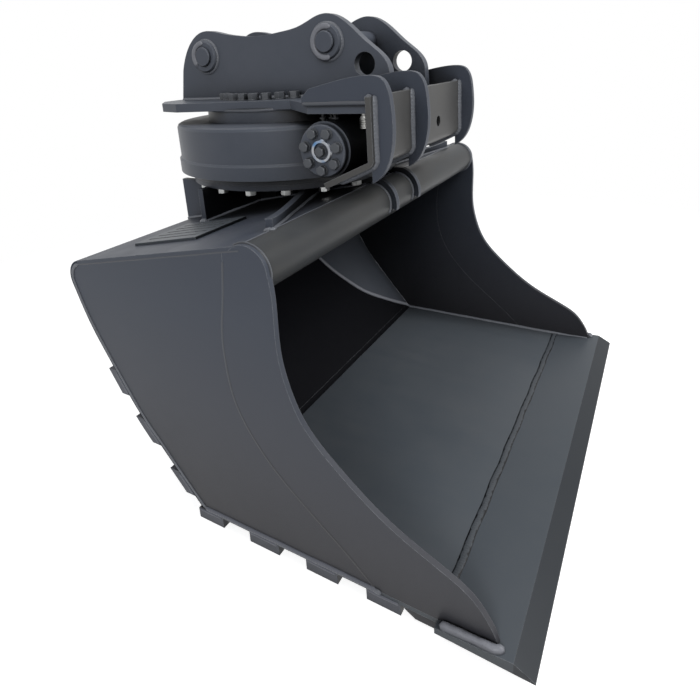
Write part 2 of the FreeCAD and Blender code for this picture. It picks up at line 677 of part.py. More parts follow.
def collar(side, pin):
    x0 = ear_outer_x if side > 0 else -ear_outer_x - collar_t
    ring = rod_x(collar_r, x0, x0 + collar_t, pin[0], pin[1])
    rim = ring.Edges
    outer = [e for e in rim if abs(e.BoundBox.Center.x - (x0 + (collar_t if side > 0 else 0.0))) < 0.1]
    ring = ring.makeChamfer(5.0, outer)
    return ring.cut(rod_x(pin_r + pin_clearance, x0 - 1, x0 + collar_t + 1, pin[0], pin[1]))


def hitch_pin(pin):
    end = ear_outer_x + collar_t + pin_stand_out
    return revolve_x([(-end, 0.0), (-end, pin_r - 3.0), (-end + 3.0, pin_r), (end - 3.0, pin_r),
                      (end, pin_r - 3.0), (end, 0.0)], pin[0], pin[1])


def guard():
    """Bent guard plate in front of the worm, turned back under it at the foot."""
    y, t = guard_face_y, guard_t
    dy, dz = guard_lip_end[0] - y, guard_lip_end[1] - guard_low_z
    length = math.hypot(dy, dz)
    ny, nz = -dz / length * t, dy / length * t
    inner_low = guard_low_z + (t - ny) / dy * dz + nz
    lip_back = (guard_lip_end[0] + ny, guard_lip_end[1] + nz)
    outline = [(y, guard_top_z), (y, guard_low_z), guard_lip_end, lip_back,
               (y + t, inner_low), (y + t, guard_top_z)]
    plate = slab_x(outline, guard_near_x, guard_far_x)
    bend = [e for e in plate.Edges if e.Length > 600.0 and abs(e.BoundBox.Center.y - y) < 0.5
            and abs(e.BoundBox.Center.z - guard_low_z) < 0.5]
    plate = plate.makeFillet(22.0, bend)
    plate = plate.cut(rod_z(housing_r, housing_low_z - 40.0, housing_top_z))
    return plate.cut(rod_y(17.0, y - 5.0, y + t + 5.0, 30.0, 1097.0))


def guard_rib(x_mid, guard_solid):
    """D-shaped rib welded round the outside of the guard plate."""
    x0 = x_mid - guard_rib_t / 2.0
    edges = to_edges([guard_rib_curve[-1], (-455.0, 985.0), (-530.0, 1020.0), (-538.0, hitch_top_z),
                      (-335.0, hitch_top_z), (-335.0, hitch_top_z + 16.0), guard_rib_curve[0]], x0)
    edges.append(curve_edge(guard_rib_curve, x0))
    rib = Part.Face(Part.Wire(Part.__sortEdges__(edges))).extrude(vec(guard_rib_t, 0, 0))
    rib = rib.cut(guard_solid)
    hollow = slab_x([(guard_face_y + guard_t - 0.5, hitch_plate_low_z - 400.0),
                     (guard_face_y + guard_t - 0.5, hitch_top_z), (-300.0, hitch_top_z),
                     (-300.0, hitch_plate_low_z - 400.0)], x0 - 1, x0 + guard_rib_t + 1)
    rib = rib.cut(hollow)
    return max(rib.Solids, key=lambda piece: piece.Volume)


guard_plate = guard()
save("slew_housing", housing)
save("slew_hub", hub)
save("hub_flange", hub_flange)
save("retaining_ring", retaining_ring)
save("worm_casing", casing)
save("worm_bearing_left", bearing_left)
save("worm_bearing_right", bearing_right)
save("worm_shaft", worm)
save("end_cap", end_cap)
save("end_cap_ring", cap_ring)
save("end_cap_bolts", Part.makeCompound(cap_bolts))
save("end_cap_centre_bolt", centre_bolt)
save("motor_flange", motor_plate)
save("motor_body", motor_body)
save("motor_port_block", port_block)
save("motor_ports", Part.makeCompound(ports))
save("hitch_plate", hitch_plate)
save("hitch_bolts", Part.makeCompound(hitch_bolts))
save("ear_left", ear(-ear_outer_x))
save("ear_right", ear(ear_inner_x))
save("pin_rear", hitch_pin(rear_pin))
save("pin_front", hitch_pin(front_pin))
for side, word in ((-1, "left"), (1, "right")):
    save("pin_collar_rear_" + word, collar(side, rear_pin))
    save("pin_collar_front_" + word, collar(side, front_pin))
save("guard_plate", guard_plate)
for i, x in enumerate(guard_rib_x):
    save("guard_rib_" + str(i + 1), guard_rib(x, guard_plate))
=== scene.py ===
"""Looks of a rotating grading bucket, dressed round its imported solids.

Lengths in the classes are millimetres from the slewing axis, as the steelwork is drawn,
with the front toward -Y. Every mesh is turned into metres in the row frame by place().
"""

import json
import logging
import math
from dataclasses import dataclass, field
from enum import Enum
from typing import Callable, Sequence

import bpy
import numpy as np
from mathutils import Matrix

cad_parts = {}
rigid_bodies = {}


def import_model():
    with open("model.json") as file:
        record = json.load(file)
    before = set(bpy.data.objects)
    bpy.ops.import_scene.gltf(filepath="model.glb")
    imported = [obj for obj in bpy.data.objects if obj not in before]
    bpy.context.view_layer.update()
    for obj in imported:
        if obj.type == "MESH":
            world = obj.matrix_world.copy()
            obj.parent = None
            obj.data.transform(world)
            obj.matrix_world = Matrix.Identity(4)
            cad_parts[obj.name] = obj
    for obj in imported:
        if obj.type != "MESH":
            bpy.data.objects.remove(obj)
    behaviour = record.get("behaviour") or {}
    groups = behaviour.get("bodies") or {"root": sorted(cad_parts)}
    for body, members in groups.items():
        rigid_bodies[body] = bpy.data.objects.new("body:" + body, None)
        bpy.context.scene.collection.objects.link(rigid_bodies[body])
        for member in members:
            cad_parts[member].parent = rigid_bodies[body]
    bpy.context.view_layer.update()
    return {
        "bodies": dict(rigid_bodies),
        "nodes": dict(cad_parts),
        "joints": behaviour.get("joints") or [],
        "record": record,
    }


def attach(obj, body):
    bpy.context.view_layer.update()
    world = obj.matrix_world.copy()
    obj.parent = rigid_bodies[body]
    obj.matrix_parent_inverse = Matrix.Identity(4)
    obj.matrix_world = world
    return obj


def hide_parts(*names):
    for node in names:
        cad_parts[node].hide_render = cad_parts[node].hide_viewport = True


LOG = logging.getLogger("grading_bucket")
AXIS_Y = 0.326
MM = 0.001
RISE = math.radians(11.0)

Array = np.ndarray


class Side(Enum):
    """The two sides of the bucket, with the sign of their X."""

    LEFT = -1.0
    RIGHT = 1.0


class Body(Enum):
    """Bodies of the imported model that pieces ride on."""

    BUCKET = "bucket"
    HITCH = "hitch"
    WORM = "worm"


# ---------------------------------------------------------------- shader maths


class Value:
    """A number that runs through a material, with arithmetic that adds Math nodes."""

    def __init__(self, graph: "Graph", socket: bpy.types.NodeSocket) -> None:
        """Keep the graph and the output socket that carries the number."""
        self.graph = graph
        self.socket = socket

    def _math(self, operation: str, *others: "Value | float") -> "Value":
        """Add one Math node whose inputs are the given numbers."""
        made = self.graph.node("ShaderNodeMath", {"operation": operation}, dict(enumerate(others)))
        return Value(self.graph, made.outputs[0])

    def __add__(self, other: "Value | float") -> "Value":
        """Sum."""
        return self._math("ADD", self, other)

    __radd__ = __add__

    def __sub__(self, other: "Value | float") -> "Value":
        """Difference."""
        return self._math("SUBTRACT", self, other)

    def __rsub__(self, other: float) -> "Value":
        """Difference from a number on the left."""
        return self._math("SUBTRACT", other, self)

    def __mul__(self, other: "Value | float") -> "Value":
        """Product."""
        return self._math("MULTIPLY", self, other)

    __rmul__ = __mul__

    def __truediv__(self, other: "Value | float") -> "Value":
        """Quotient."""
        return self._math("DIVIDE", self, other)

    def __pow__(self, other: float) -> "Value":
        """Power."""
        return self._math("POWER", self, other)

    def above(self, low: float, high: float) -> "Value":
        """Share, 0 below low and 1 above high, straight in between.

        Args:
            low: Where the share starts.
            high: Where the share is full.

        Returns:
            The clamped share.
        """
        made = self.graph.node("ShaderNodeMapRange", {"clamp": True}, {0: self, 1: low, 2: high})
        return Value(self.graph, made.outputs[0])


class Graph:
    """Node tree of one material, with its Principled shader and output."""

    def __init__(self, name: str) -> None:
        """Make an empty material and wire its shader to the output.

        Args:
            name: Name of the material.
        """
        self.material = bpy.data.materials.new(name)
        self.material.use_nodes = True
        self.tree = self.material.node_tree
        self.tree.nodes.clear()
        self.shader = self.node("ShaderNodeBsdfPrincipled")
        self.output = self.node("ShaderNodeOutputMaterial", None, {0: self.shader.outputs[0]})
        self.place = self.node("ShaderNodeTexCoord").outputs["Object"]

    def node(
        self, kind: str, settings: dict | None = None, sockets: dict | None = None
    ) -> bpy.types.Node:
        """Add a node of any type.

        Args:
            kind: Blender's type name of the node.
            settings: Properties set first; "stops" holds a ramp's (place, colour) pairs.
            sockets: Values or links for inputs, by name or number.

        Returns:
            The new node.
        """
        made = self.tree.nodes.new(kind)
        for key, value in (settings or {}).items():
            if key == "stops":
                ramp = made.color_ramp.elements
                while len(ramp) < len(value):
                    ramp.new(0.5)
                for stop, (position, colour) in zip(ramp, value):
                    stop.position, stop.color = position, (*colour, 1.0)
            else:
                setattr(made, key, value)
        for key, value in (sockets or {}).items():
            target = made.inputs[key]
            if isinstance(value, Value):
                value = value.socket
            if isinstance(value, bpy.types.NodeSocket):
                self.tree.links.new(value, target)
            else:
                target.default_value = value
        return made

    def noise(self, scale: float, detail: float = 3.0, stretch: Sequence[float] = (1, 1, 1)) -> Value:
        """Smooth noise on the piece's own coordinates.

        Args:
            scale: Grains per metre.
            detail: Number of finer layers.
            stretch: Scale of the three axes, to draw the noise out into streaks.

        Returns:
            The noise, about 0.5 on average.
        """
        mapped = self.node("ShaderNodeMapping", None, {0: self.place, 3: tuple(stretch)})
        made = self.node("ShaderNodeTexNoise", None, {"Vector": mapped.outputs[0], "Scale": scale, "Detail": detail})
        return Value(self, made.outputs[0])

    def mix(self, share: "Value | float", first: object, second: object) -> bpy.types.NodeSocket:
        """Blend two colours.

        Args:
            share: 0 gives the first colour and 1 the second.
            first: Colour or colour socket.
            second: Colour or colour socket.

        Returns:
            The blended colour's socket.
        """
        colours = [(*c, 1.0) if isinstance(c, tuple) and len(c) == 3 else c for c in (first, second)]
        made = self.node("ShaderNodeMix", {"data_type": "RGBA"}, {0: share, 6: colours[0], 7: colours[1]})
        return made.outputs[2]

    def edges(self, radius: float) -> tuple[Value, bpy.types.NodeSocket]:
        """Find the rim of plates by comparing the rounded normal with the true one.

        Args:
            radius: Width of the rounding in metres.

        Returns:
            Share that is 1 on a sharp edge, and the rounded normal.
        """
        soft = self.node("ShaderNodeBevel", {"samples": 4}, {"Radius": radius}).outputs[0]
        true = self.node("ShaderNodeNewGeometry").outputs["Normal"]
        dot = self.node("ShaderNodeVectorMath", {"operation": "DOT_PRODUCT"}, {0: soft, 1: true})
        return (1.0 - Value(self, dot.outputs["Value"])).above(0.02, 0.22), soft

    def upward(self) -> Value:
        """Share of the surface that faces up, on which dust settles."""
        true = self.node("ShaderNodeNewGeometry").outputs["Normal"]
        split = self.node("ShaderNodeSeparateXYZ", None, {0: true})
        return Value(self, split.outputs[2]).above(0.55, 0.95)

    def openness_for_painted_shade(self, reach: float) -> Value:
        """Share of open air round a point, so that painted shade can darken deep hollows.

        Args:
            reach: How far a wall counts, in metres.

        Returns:
            0 in a hollow and 1 in the open.
        """
        made = self.node("ShaderNodeAmbientOcclusion", {"samples": 6}, {"Distance": reach})
        return Value(self, made.outputs["AO"]).above(0.30, 0.66)

    def bump(self, height: Value, strength: float, distance: float, normal: object = None) -> None:
        """Wire a height to the shader's normal.

        Args:
            height: Height that the light reads.
            strength: Share of the relief, 0 to 1.
            distance: Metres for a height of 1.
            normal: Normal that the relief stands on.
        """
        sockets = {"Strength": strength, "Distance": distance, "Height": height}
        if normal is not None:
            sockets["Normal"] = normal
        made = self.node("ShaderNodeBump", None, sockets)
        self.tree.links.new(made.outputs[0], self.shader.inputs["Normal"])

    def feed(self, name: str, value: object) -> None:
        """Link or set one input of the shader.

        Args:
            name: Name of the input.
            value: Value, socket or constant.
        """
        target = self.shader.inputs[name]
        if isinstance(value, Value):
            value = value.socket
        if isinstance(value, bpy.types.NodeSocket):
            self.tree.links.new(value, target)
        else:
            target.default_value = value


# ---------------------------------------------------------------- finishes


@dataclass(frozen=True)
class Paint:
    """Sprayed coat on plate steel."""

    name: str
    colour: tuple[float, float, float]
    shade: tuple[float, float, float]
    roughness: float = 0.44
    swing: float = 0.12
    # rim: lighter colour on sharp edges, a painted highlight broken up by noise like worn paint.
    rim: tuple[float, float, float] = (0.22, 0.23, 0.245)
    rim_radius: float = 0.0030
    rim_highlight_share: float = 0.80
    dust: float = 0.10
    peel: float = 0.00010
    streak: tuple[float, float, float] = (1.0, 1.0, 1.0)
    # reach: how far walls count for the painted shade in hollows, in metres.
    reach: float = 0.9
    # bevel: depth in front of which the face gets painted shade.
    bevel: float | None = None
    low_tone: tuple[float, float, float] | None = None
    # inner: colour of painted shade on faces that look toward the front (-Y), such as the inside of the back plate.
    inner: tuple[float, float, float] | None = None
    specular: float = 0.24

    def material(self) -> bpy.types.Material:
        """Build the node material.

        Returns:
            Material with clouds in the colour, rims lightened as painted highlight and wear, dust, painted shade in
            hollows and, where asked for, on inner faces and a bevel, a darker tone low down, and orange peel.
        """
        g = Graph(self.name)
        cloud = g.noise(4.0, 4.0, self.streak)
        patch = g.noise(23.0, 3.0, self.streak)
        speck = g.noise(420.0, 2.0)
        tone = g.mix((cloud * 0.7 + patch * 0.3).above(0.34, 0.66), self.colour, self.shade)
        rim, soft = g.edges(self.rim_radius)
        film = g.upward() * g.noise(11.0, 5.0).above(0.35, 0.8) * self.dust
        tone = g.mix(film, tone, (0.16, 0.155, 0.145))
        tone = g.mix(speck.above(0.68, 0.80) * 0.25, tone, (0.13, 0.135, 0.14))
        split = g.node("ShaderNodeSeparateXYZ", None, {0: g.place})
        # Painted shade: in front of the bevel depth the face turns near black.
        if self.bevel is not None:
            front = 1.0 - Value(g, split.outputs[1]).above(self.bevel - 0.001, self.bevel + 0.001)
            tone = g.mix(front * 0.95, tone, (0.008, 0.011, 0.015))
        # Painted shade: faces that look toward -Y turn to the inner colour.
        if self.inner is not None:
            true = g.node("ShaderNodeNewGeometry").outputs["Normal"]
            faces = g.node("ShaderNodeSeparateXYZ", None, {0: true})
            tone = g.mix(Value(g, faces.outputs[1]).above(-0.35, -0.05), self.inner, tone)
        # Darker towards the bottom of the piece.
        if self.low_tone is not None:
            low = 1.0 - Value(g, split.outputs[2]).above(0.05, 0.72)
            tone = g.mix(low * 0.85, tone, self.low_tone)
        # Painted edge highlight, partly real wear: sharp rims lighten where the noise lets through.
        rim_highlight_and_wear = rim * (g.noise(90.0, 4.0).above(0.26, 0.50)) * self.rim_highlight_share
        tone = g.mix(rim_highlight_and_wear, tone, self.rim)
        # Painted shade: hollows, corners and gaps between parts darken towards near black by ambient occlusion.
        tone = g.mix(g.openness_for_painted_shade(self.reach), (0.0016, 0.0018, 0.0024), tone)
        g.feed("Base Color", tone)
        g.feed("Roughness", cloud * self.swing + patch * (self.swing * 0.7) + (self.roughness - self.swing * 0.85) + film)
        g.shader.inputs["Specular IOR Level"].default_value = self.specular
        peel = g.noise(700.0, 2.0) * 0.6 + g.noise(95.0, 3.0) * 0.9
        g.bump(peel, 0.35, self.peel, soft)
        return g.material


@dataclass(frozen=True)
class WeldPaint:
    """Coat over a run of weld, lighter on the crown of each ripple as a painted highlight and darker at its feet as
    painted shade.
    """

    name: str
    # crown: painted highlight colour on top of the bead; foot: painted shade colour towards its feet.
    crown: tuple[float, float, float]
    foot: tuple[float, float, float]
    roughness: float = 0.38
    climb: tuple[float, float] = (0.10, 0.75)
    ragged: float = 0.2
    low_tone: tuple[float, float, float] | None = None

    def material(self) -> bpy.types.Material:
        """Build the node material.

        Returns:
            Material that reads how far round the bead a point lies from its own map.
        """
        g = Graph(self.name)
        uv = g.node("ShaderNodeUVMap", {"uv_map": "bead"})
        split = g.node("ShaderNodeSeparateXYZ", None, {0: uv.outputs[0]})
        spatter = g.noise(260.0, 3.0)
        ragged = g.noise(75.0, 3.0) * self.ragged - self.ragged / 2.0
        # Painted highlight on the crown, painted shade towards the feet.
        crown = (Value(g, split.outputs[1]) + ragged).above(*self.climb)
        tone = g.mix(crown, self.foot, self.crown)
        tone = g.mix(spatter.above(0.58, 0.7) * 0.35, tone, self.foot)
        # Darker low down, by height.
        if self.low_tone is not None:
            split = g.node("ShaderNodeSeparateXYZ", None, {0: g.place})
            tone = g.mix(Value(g, split.outputs[2]).above(0.15, 0.72), self.low_tone, tone)
        g.feed("Base Color", tone)
        g.feed("Roughness", g.noise(60.0, 3.0) * 0.18 + (self.roughness - 0.09))
        g.shader.inputs["Specular IOR Level"].default_value = 0.25
        g.bump(spatter, 0.5, 0.0004)
        return g.material


@dataclass(frozen=True)
class Steel:
    """Bare or plated metal with turning marks or a dull bloom."""

    name: str
    colour: tuple[float, float, float]
    stain: tuple[float, float, float]
    roughness: float = 0.32
    metallic: float = 1.0
    grain: float = 240.0
    tint: tuple[float, float, float] | None = None

    def material(self) -> bpy.types.Material:
        """Build the node material.

        Returns:
            Metal with stains, fine grain, a painted highlight on its edges and, where asked for, a coloured bloom.
        """
        g = Graph(self.name)
        bloom = g.noise(38.0, 4.0)
        tone = g.mix(bloom.above(0.42, 0.66), self.colour, self.stain)
        if self.tint is not None:
            tone = g.mix(g.noise(24.0, 1.0).above(0.46, 0.60) * 0.8, tone, self.tint)
        rim, soft = g.edges(0.0009)
        # Painted highlight: sharp edges are lightened to a brighter copy of the metal.
        tone = g.mix(rim * 0.5, tone, tuple(min(1.0, c * 1.25) for c in self.colour))
        g.feed("Base Color", tone)
        g.feed("Metallic", g.noise(70.0, 3.0).above(0.2, 0.4) * self.metallic)
        g.feed("Roughness", g.noise(90.0, 4.0) * 0.22 + (self.roughness - 0.11))
        g.bump(g.noise(self.grain, 3.0), 0.4, 0.00008, soft)
        return g.material


PLATE = Paint("charcoal_plate", (0.0380, 0.0450, 0.0620), (0.0435, 0.0505, 0.0660), low_tone=(0.0320, 0.0305, 0.0340))
# Back and heel plates with painted shade: near black on the faces inside the bucket and towards the bottom.
INNER_PAINTED_SHADE = Paint("inner_plate", (0.0415, 0.0490, 0.0640), (0.0475, 0.0545, 0.0680), low_tone=(0.0100, 0.0100, 0.0120),
              inner=(0.0030, 0.0034, 0.0060), roughness=0.70, specular=0.04)
# Corner plates: a lighter copy of the plate paint, painted light where they catch more light than the back plate.
PATCH_PAINTED_LIGHT = Paint("patch_plate", (0.0460, 0.0520, 0.0640), (0.0520, 0.0570, 0.0680), reach=0.12)
# Bucket floor: a lighter copy of the plate paint that stands in for light on the floor, with tone drawn out along Y
# into painted reflection streaks.
FLOOR_PAINTED_LIGHT = Paint("charcoal_floor", (0.068, 0.079, 0.092), (0.077, 0.087, 0.099), roughness=0.42, dust=0.08,
              streak=(1.0, 0.22, 1.0), reach=0.40)
ROUND = Paint("charcoal_tube", (0.038, 0.042, 0.047), (0.046, 0.046, 0.045), roughness=0.40, streak=(0.25, 1.0, 1.0),
              reach=0.02, specular=0.14)
GUARD = Paint("charcoal_guard", (0.052, 0.052, 0.052), (0.064, 0.063, 0.061), roughness=0.42, dust=0.05, reach=0.17)
# Cutting edge: a lighter copy of the plate paint that stands in for light, with painted shade on its bevel.
EDGE = Paint("edge_paint", (0.057, 0.067, 0.079), (0.064, 0.073, 0.084), roughness=0.40, rim_highlight_share=0.9, dust=0.04,
             bevel=-0.690)
BLOCK = Paint("block_paint", (0.080, 0.084, 0.102), (0.054, 0.058, 0.070), rim_highlight_share=0.9, peel=0.0006, reach=0.10)
CAST = Paint("cast_paint", (0.053, 0.061, 0.078), (0.064, 0.071, 0.088), roughness=0.40, peel=0.00035, reach=0.35)
BOLT = Paint("bolt_paint", (0.060, 0.065, 0.074), (0.076, 0.081, 0.090), roughness=0.36, rim_radius=0.0009,
             reach=0.05)
# In each weld coat the crown colour is a painted highlight and the foot colour painted shade.
WELD = WeldPaint("weld_coat", (0.115, 0.122, 0.138), (0.026, 0.028, 0.033))
PALE_WELD = WeldPaint("pale_weld_coat", (0.165, 0.170, 0.190), (0.070, 0.073, 0.083))
EDGE_WELD = WeldPaint("edge_weld_coat", (0.098, 0.103, 0.122), (0.045, 0.048, 0.058))
SEAM_WELD = WeldPaint("seam_weld_coat", (0.064, 0.068, 0.078), (0.044, 0.049, 0.060), low_tone=(0.034, 0.033, 0.036))
FLOOR_WELD = WeldPaint("floor_weld_coat", (0.060, 0.067, 0.076), (0.002, 0.002, 0.003), climb=(0.55, 0.80), ragged=1.1)
ZINC = Steel("zinc_bolts", (0.60, 0.61, 0.60), (0.44, 0.45, 0.45), roughness=0.42)
BRIGHT = Steel("bright_ring", (0.38, 0.39, 0.41), (0.24, 0.27, 0.32), roughness=0.40, tint=(0.08, 0.22, 0.44))
TOOLED = Steel("tooled_steel", (0.36, 0.36, 0.35), (0.26, 0.26, 0.25), roughness=0.40)


# ---------------------------------------------------------------- shapes


def place(points: Array) -> Array:
    """Turn millimetres from the slewing axis into metres in the row frame.

    Args:
        points: Array of points, (..., 3).

    Returns:
        The same points in metres, moved back by the place of the slewing axis.
    """
    return np.asarray(points, float) * MM + np.array([0.0, AXIS_Y, 0.0])


def unit(vectors: Array) -> Array:
    """Vectors divided by their lengths."""
    return vectors / np.maximum(np.linalg.norm(vectors, axis=-1, keepdims=True), 1e-12)


def smooth_curve(points: Sequence[Sequence[float]], count: int = 160) -> Array:
    """Natural cubic spline through points, with the chord length as its parameter.

    The second derivatives solve the usual three-term system, and each span is the
    cubic that they fix.

    Args:
        points: Points of any dimension.
        count: Number of samples.

    Returns:
        Samples along the curve, evenly spread over the parameter.
    """
    p = np.asarray(points, float)
    s = np.concatenate([[0.0], np.cumsum(np.linalg.norm(np.diff(p, axis=0), axis=1))])
    h = np.diff(s)
    n = len(p)
    system = np.eye(n)
    rows = np.arange(1, n - 1)
    system[rows, rows - 1], system[rows, rows], system[rows, rows + 1] = h[:-1], 2 * (h[:-1] + h[1:]), h[1:]
    right = np.zeros_like(p)
    slope = np.diff(p, axis=0) / h[:, None]
    right[1:-1] = 6.0 * np.diff(slope, axis=0)
    second = np.linalg.solve(system, right)
    at = np.linspace(0.0, s[-1], count)
    i = np.clip(np.searchsorted(s, at, side="right") - 1, 0, n - 2)
    a, b = (s[i + 1] - at)[:, None], (at - s[i])[:, None]
    hi = h[i][:, None]
    return (
        second[i] * a**3 / (6 * hi)
        + second[i + 1] * b**3 / (6 * hi)
        + (p[i] / hi - second[i] * hi / 6) * a
        + (p[i + 1] / hi - second[i + 1] * hi / 6) * b
    )


def bent_line(points: Sequence[Sequence[float]], radii: Sequence[float], steps: int = 14) -> Array:
    """Polyline whose inner corners are arcs tangent to both runs.

    Args:
        points: Corners in a plane.
        radii: Radius at each inner corner.
        steps: Samples on each arc.

    Returns:
        The line's points.
    """
    p = np.asarray(points, float)
    parts = [p[:1]]
    for k, radius in enumerate(radii, start=1):
        a, b = unit(p[k] - p[k - 1]), unit(p[k + 1] - p[k])
        turn = math.acos(float(np.clip(a @ b, -1.0, 1.0)))
        reach = radius * math.tan(turn / 2.0)
        start = p[k] - a * reach
        inner = unit(b - a * (a @ b))
        angles = np.linspace(0.0, turn, steps)[:, None]
        parts.append(start + a * radius * np.sin(angles) + inner * radius * (1.0 - np.cos(angles)))
    return np.concatenate(parts + [p[-1:]])


def even(path: Array, step: float) -> Array:
    """Points at equal distances along a polyline.

    Args:
        path: Polyline.
        step: Wanted distance.

    Returns:
        The resampled line with the same ends.
    """
    s = np.concatenate([[0.0], np.cumsum(np.linalg.norm(np.diff(path, axis=0), axis=1))])
    at = np.linspace(0.0, s[-1], max(4, int(s[-1] / step) + 1))
    return np.stack([np.interp(at, s, path[:, k]) for k in range(path.shape[1])], axis=1)


@dataclass
class Mesh:
    """Vertices, faces and an optional map, ready to become an object."""

    vertices: Array
    quads: Array
    fans: list[tuple[int, Array]] = field(default_factory=list)
    map_values: Array | None = None

    @staticmethod
    def from_rings(rings: Array, loop: bool = False, map_values: Array | None = None) -> "Mesh":
        """Skin rings of equal size into a closed surface.

        Ring i and ring i + 1 are joined by quads. Open ends are closed by a fan about
        their middle, and a loop joins the last ring to the first.

        Args:
            rings: Array (rings, points, 3).
            loop: Whether the last ring meets the first.
            map_values: Two map values for each point, (rings, points, 2).

        Returns:
            The skinned mesh with its faces pointing out.
        """
        m, k = rings.shape[:2]
        i = np.arange(m if loop else m - 1)[:, None]
        j = np.arange(k)[None, :]
        a, b = i * k + j, i * k + (j + 1) % k
        c, d = ((i + 1) % m) * k + (j + 1) % k, ((i + 1) % m) * k + j
        quads = np.stack([a, b, c, d], axis=-1).reshape(-1, 4)
        vertices = rings.reshape(-1, 3)
        fans: list[tuple[int, Array]] = []
        if not loop:
            vertices = np.concatenate([vertices, rings[:1].mean(1), rings[-1:].mean(1)])
            fans = [(m * k, np.arange(k)[::-1]), (m * k + 1, (m - 1) * k + np.arange(k))]
        made = Mesh(vertices, quads, fans, map_values)
        if made.volume() < 0.0:
            made.quads = made.quads[:, ::-1]
            made.fans = [(centre, rim[::-1]) for centre, rim in made.fans]
        return made

    def triangles(self) -> Array:
        """All faces as triangles."""
        parts = [self.quads[:, [0, 1, 2]], self.quads[:, [0, 2, 3]]]
        for centre, rim in self.fans:
            parts.append(np.stack([np.full(len(rim), centre), rim, np.roll(rim, -1)], axis=1))
        return np.concatenate(parts)

    def volume(self) -> float:
        """Volume inside the faces, negative when they point inwards."""
        t = self.vertices[self.triangles()]
        return float(np.einsum("ij,ij->i", t[:, 0], np.cross(t[:, 1], t[:, 2])).sum() / 6.0)


def joined(meshes: Sequence[Mesh]) -> Mesh:
    """Put several meshes into one.

    Args:
        meshes: Meshes that all have map values, or none.

    Returns:
        One mesh with every part.
    """
    offset = 0
    vertices, quads, fans, maps = [], [], [], []
    for mesh in meshes:
        vertices.append(mesh.vertices)
        quads.append(mesh.quads + offset)
        fans += [(centre + offset, rim + offset) for centre, rim in mesh.fans]
        if mesh.map_values is not None:
            flat = mesh.map_values.reshape(-1, 2)
            maps.append(np.concatenate([flat, np.zeros((len(mesh.vertices) - len(flat), 2))]))
        offset += len(mesh.vertices)
    return Mesh(np.concatenate(vertices), np.concatenate(quads), fans, np.concatenate(maps) if maps else None)


@dataclass(frozen=True)
class Run:
    """One run of weld: half its width, its height and the length of a ripple."""

    half_width: float = 6.0
    height: float = 3.0
    ripple: float = 5.0
    wander: float = 0.6

    def surface(self, path: Array, normals: Array, loop: bool = False, seed: int = 0) -> Mesh:
        """Bead along a path.

        The section is an ellipse whose height and width swell with crescents, a wave
        of the distance along the run that lags toward the feet, and with two slow
        sines. Both ends close as half ellipses.

        Args:
            path: Polyline of the bead's foot, millimetres.
            normals: Direction of the crown at each point, or one for all.
            loop: Whether the run closes on itself.
            seed: Number that shifts the slow sines.

        Returns:
            The bead, with its crown at 1 in the second map value.
        """
        path = np.asarray(path, float)
        normals = np.broadcast_to(np.asarray(normals, float), path.shape)
        both = even(np.concatenate([path, normals], axis=1) * 1.0, self.ripple / 4.0)
        line, up = both[:, :3], unit(both[:, 3:])
        if loop:
            line, up = line[:-1], up[:-1]
        tangent = unit(np.roll(line, -1, 0) - np.roll(line, 1, 0)) if loop else unit(np.gradient(line, axis=0))
        side = unit(np.cross(tangent, up))
        up = unit(np.cross(side, tangent))
        s = np.concatenate([[0.0], np.cumsum(np.linalg.norm(np.diff(line, axis=0), axis=1))])[:, None]
        theta = np.linspace(0.0, 2 * np.pi, 12, endpoint=False)[None, :]
        crest = np.maximum(np.sin(theta), 0.0)
        lag = 0.9 * (1.0 - crest)
        phase = s / self.ripple - lag
        wave = 1.0 - np.abs(2.0 * (phase - np.floor(phase)) - 1.0) ** 1.6
        slow = np.sin(s / 23.0 + seed) * 0.6 + np.sin(s / 9.1 + 2.3 * seed) * 0.4
        wide = self.half_width * (1.0 + 0.06 * slow + 0.05 * wave)
        tall = self.height * (0.86 + 0.20 * wave + 0.06 * slow)
        if not loop:
            near = np.minimum(s, s[-1] - s) / (1.3 * self.half_width)
            close = np.sqrt(np.clip(1.0 - (1.0 - np.clip(near, 0.0, 1.0)) ** 2, 0.0025, 1.0))
            wide, tall = wide * close, tall * close
        drift = self.wander * np.sin(s / 31.0 + 1.7 * seed)
        rings = (
            line[:, None, :]
            + side[:, None, :] * (wide * np.cos(theta) + drift)[..., None]
            + up[:, None, :] * (tall * np.sin(theta))[..., None]
        )
        maps = np.stack(np.broadcast_arrays(s * MM, crest), axis=-1)
        return Mesh.from_rings(place(rings), loop, maps)


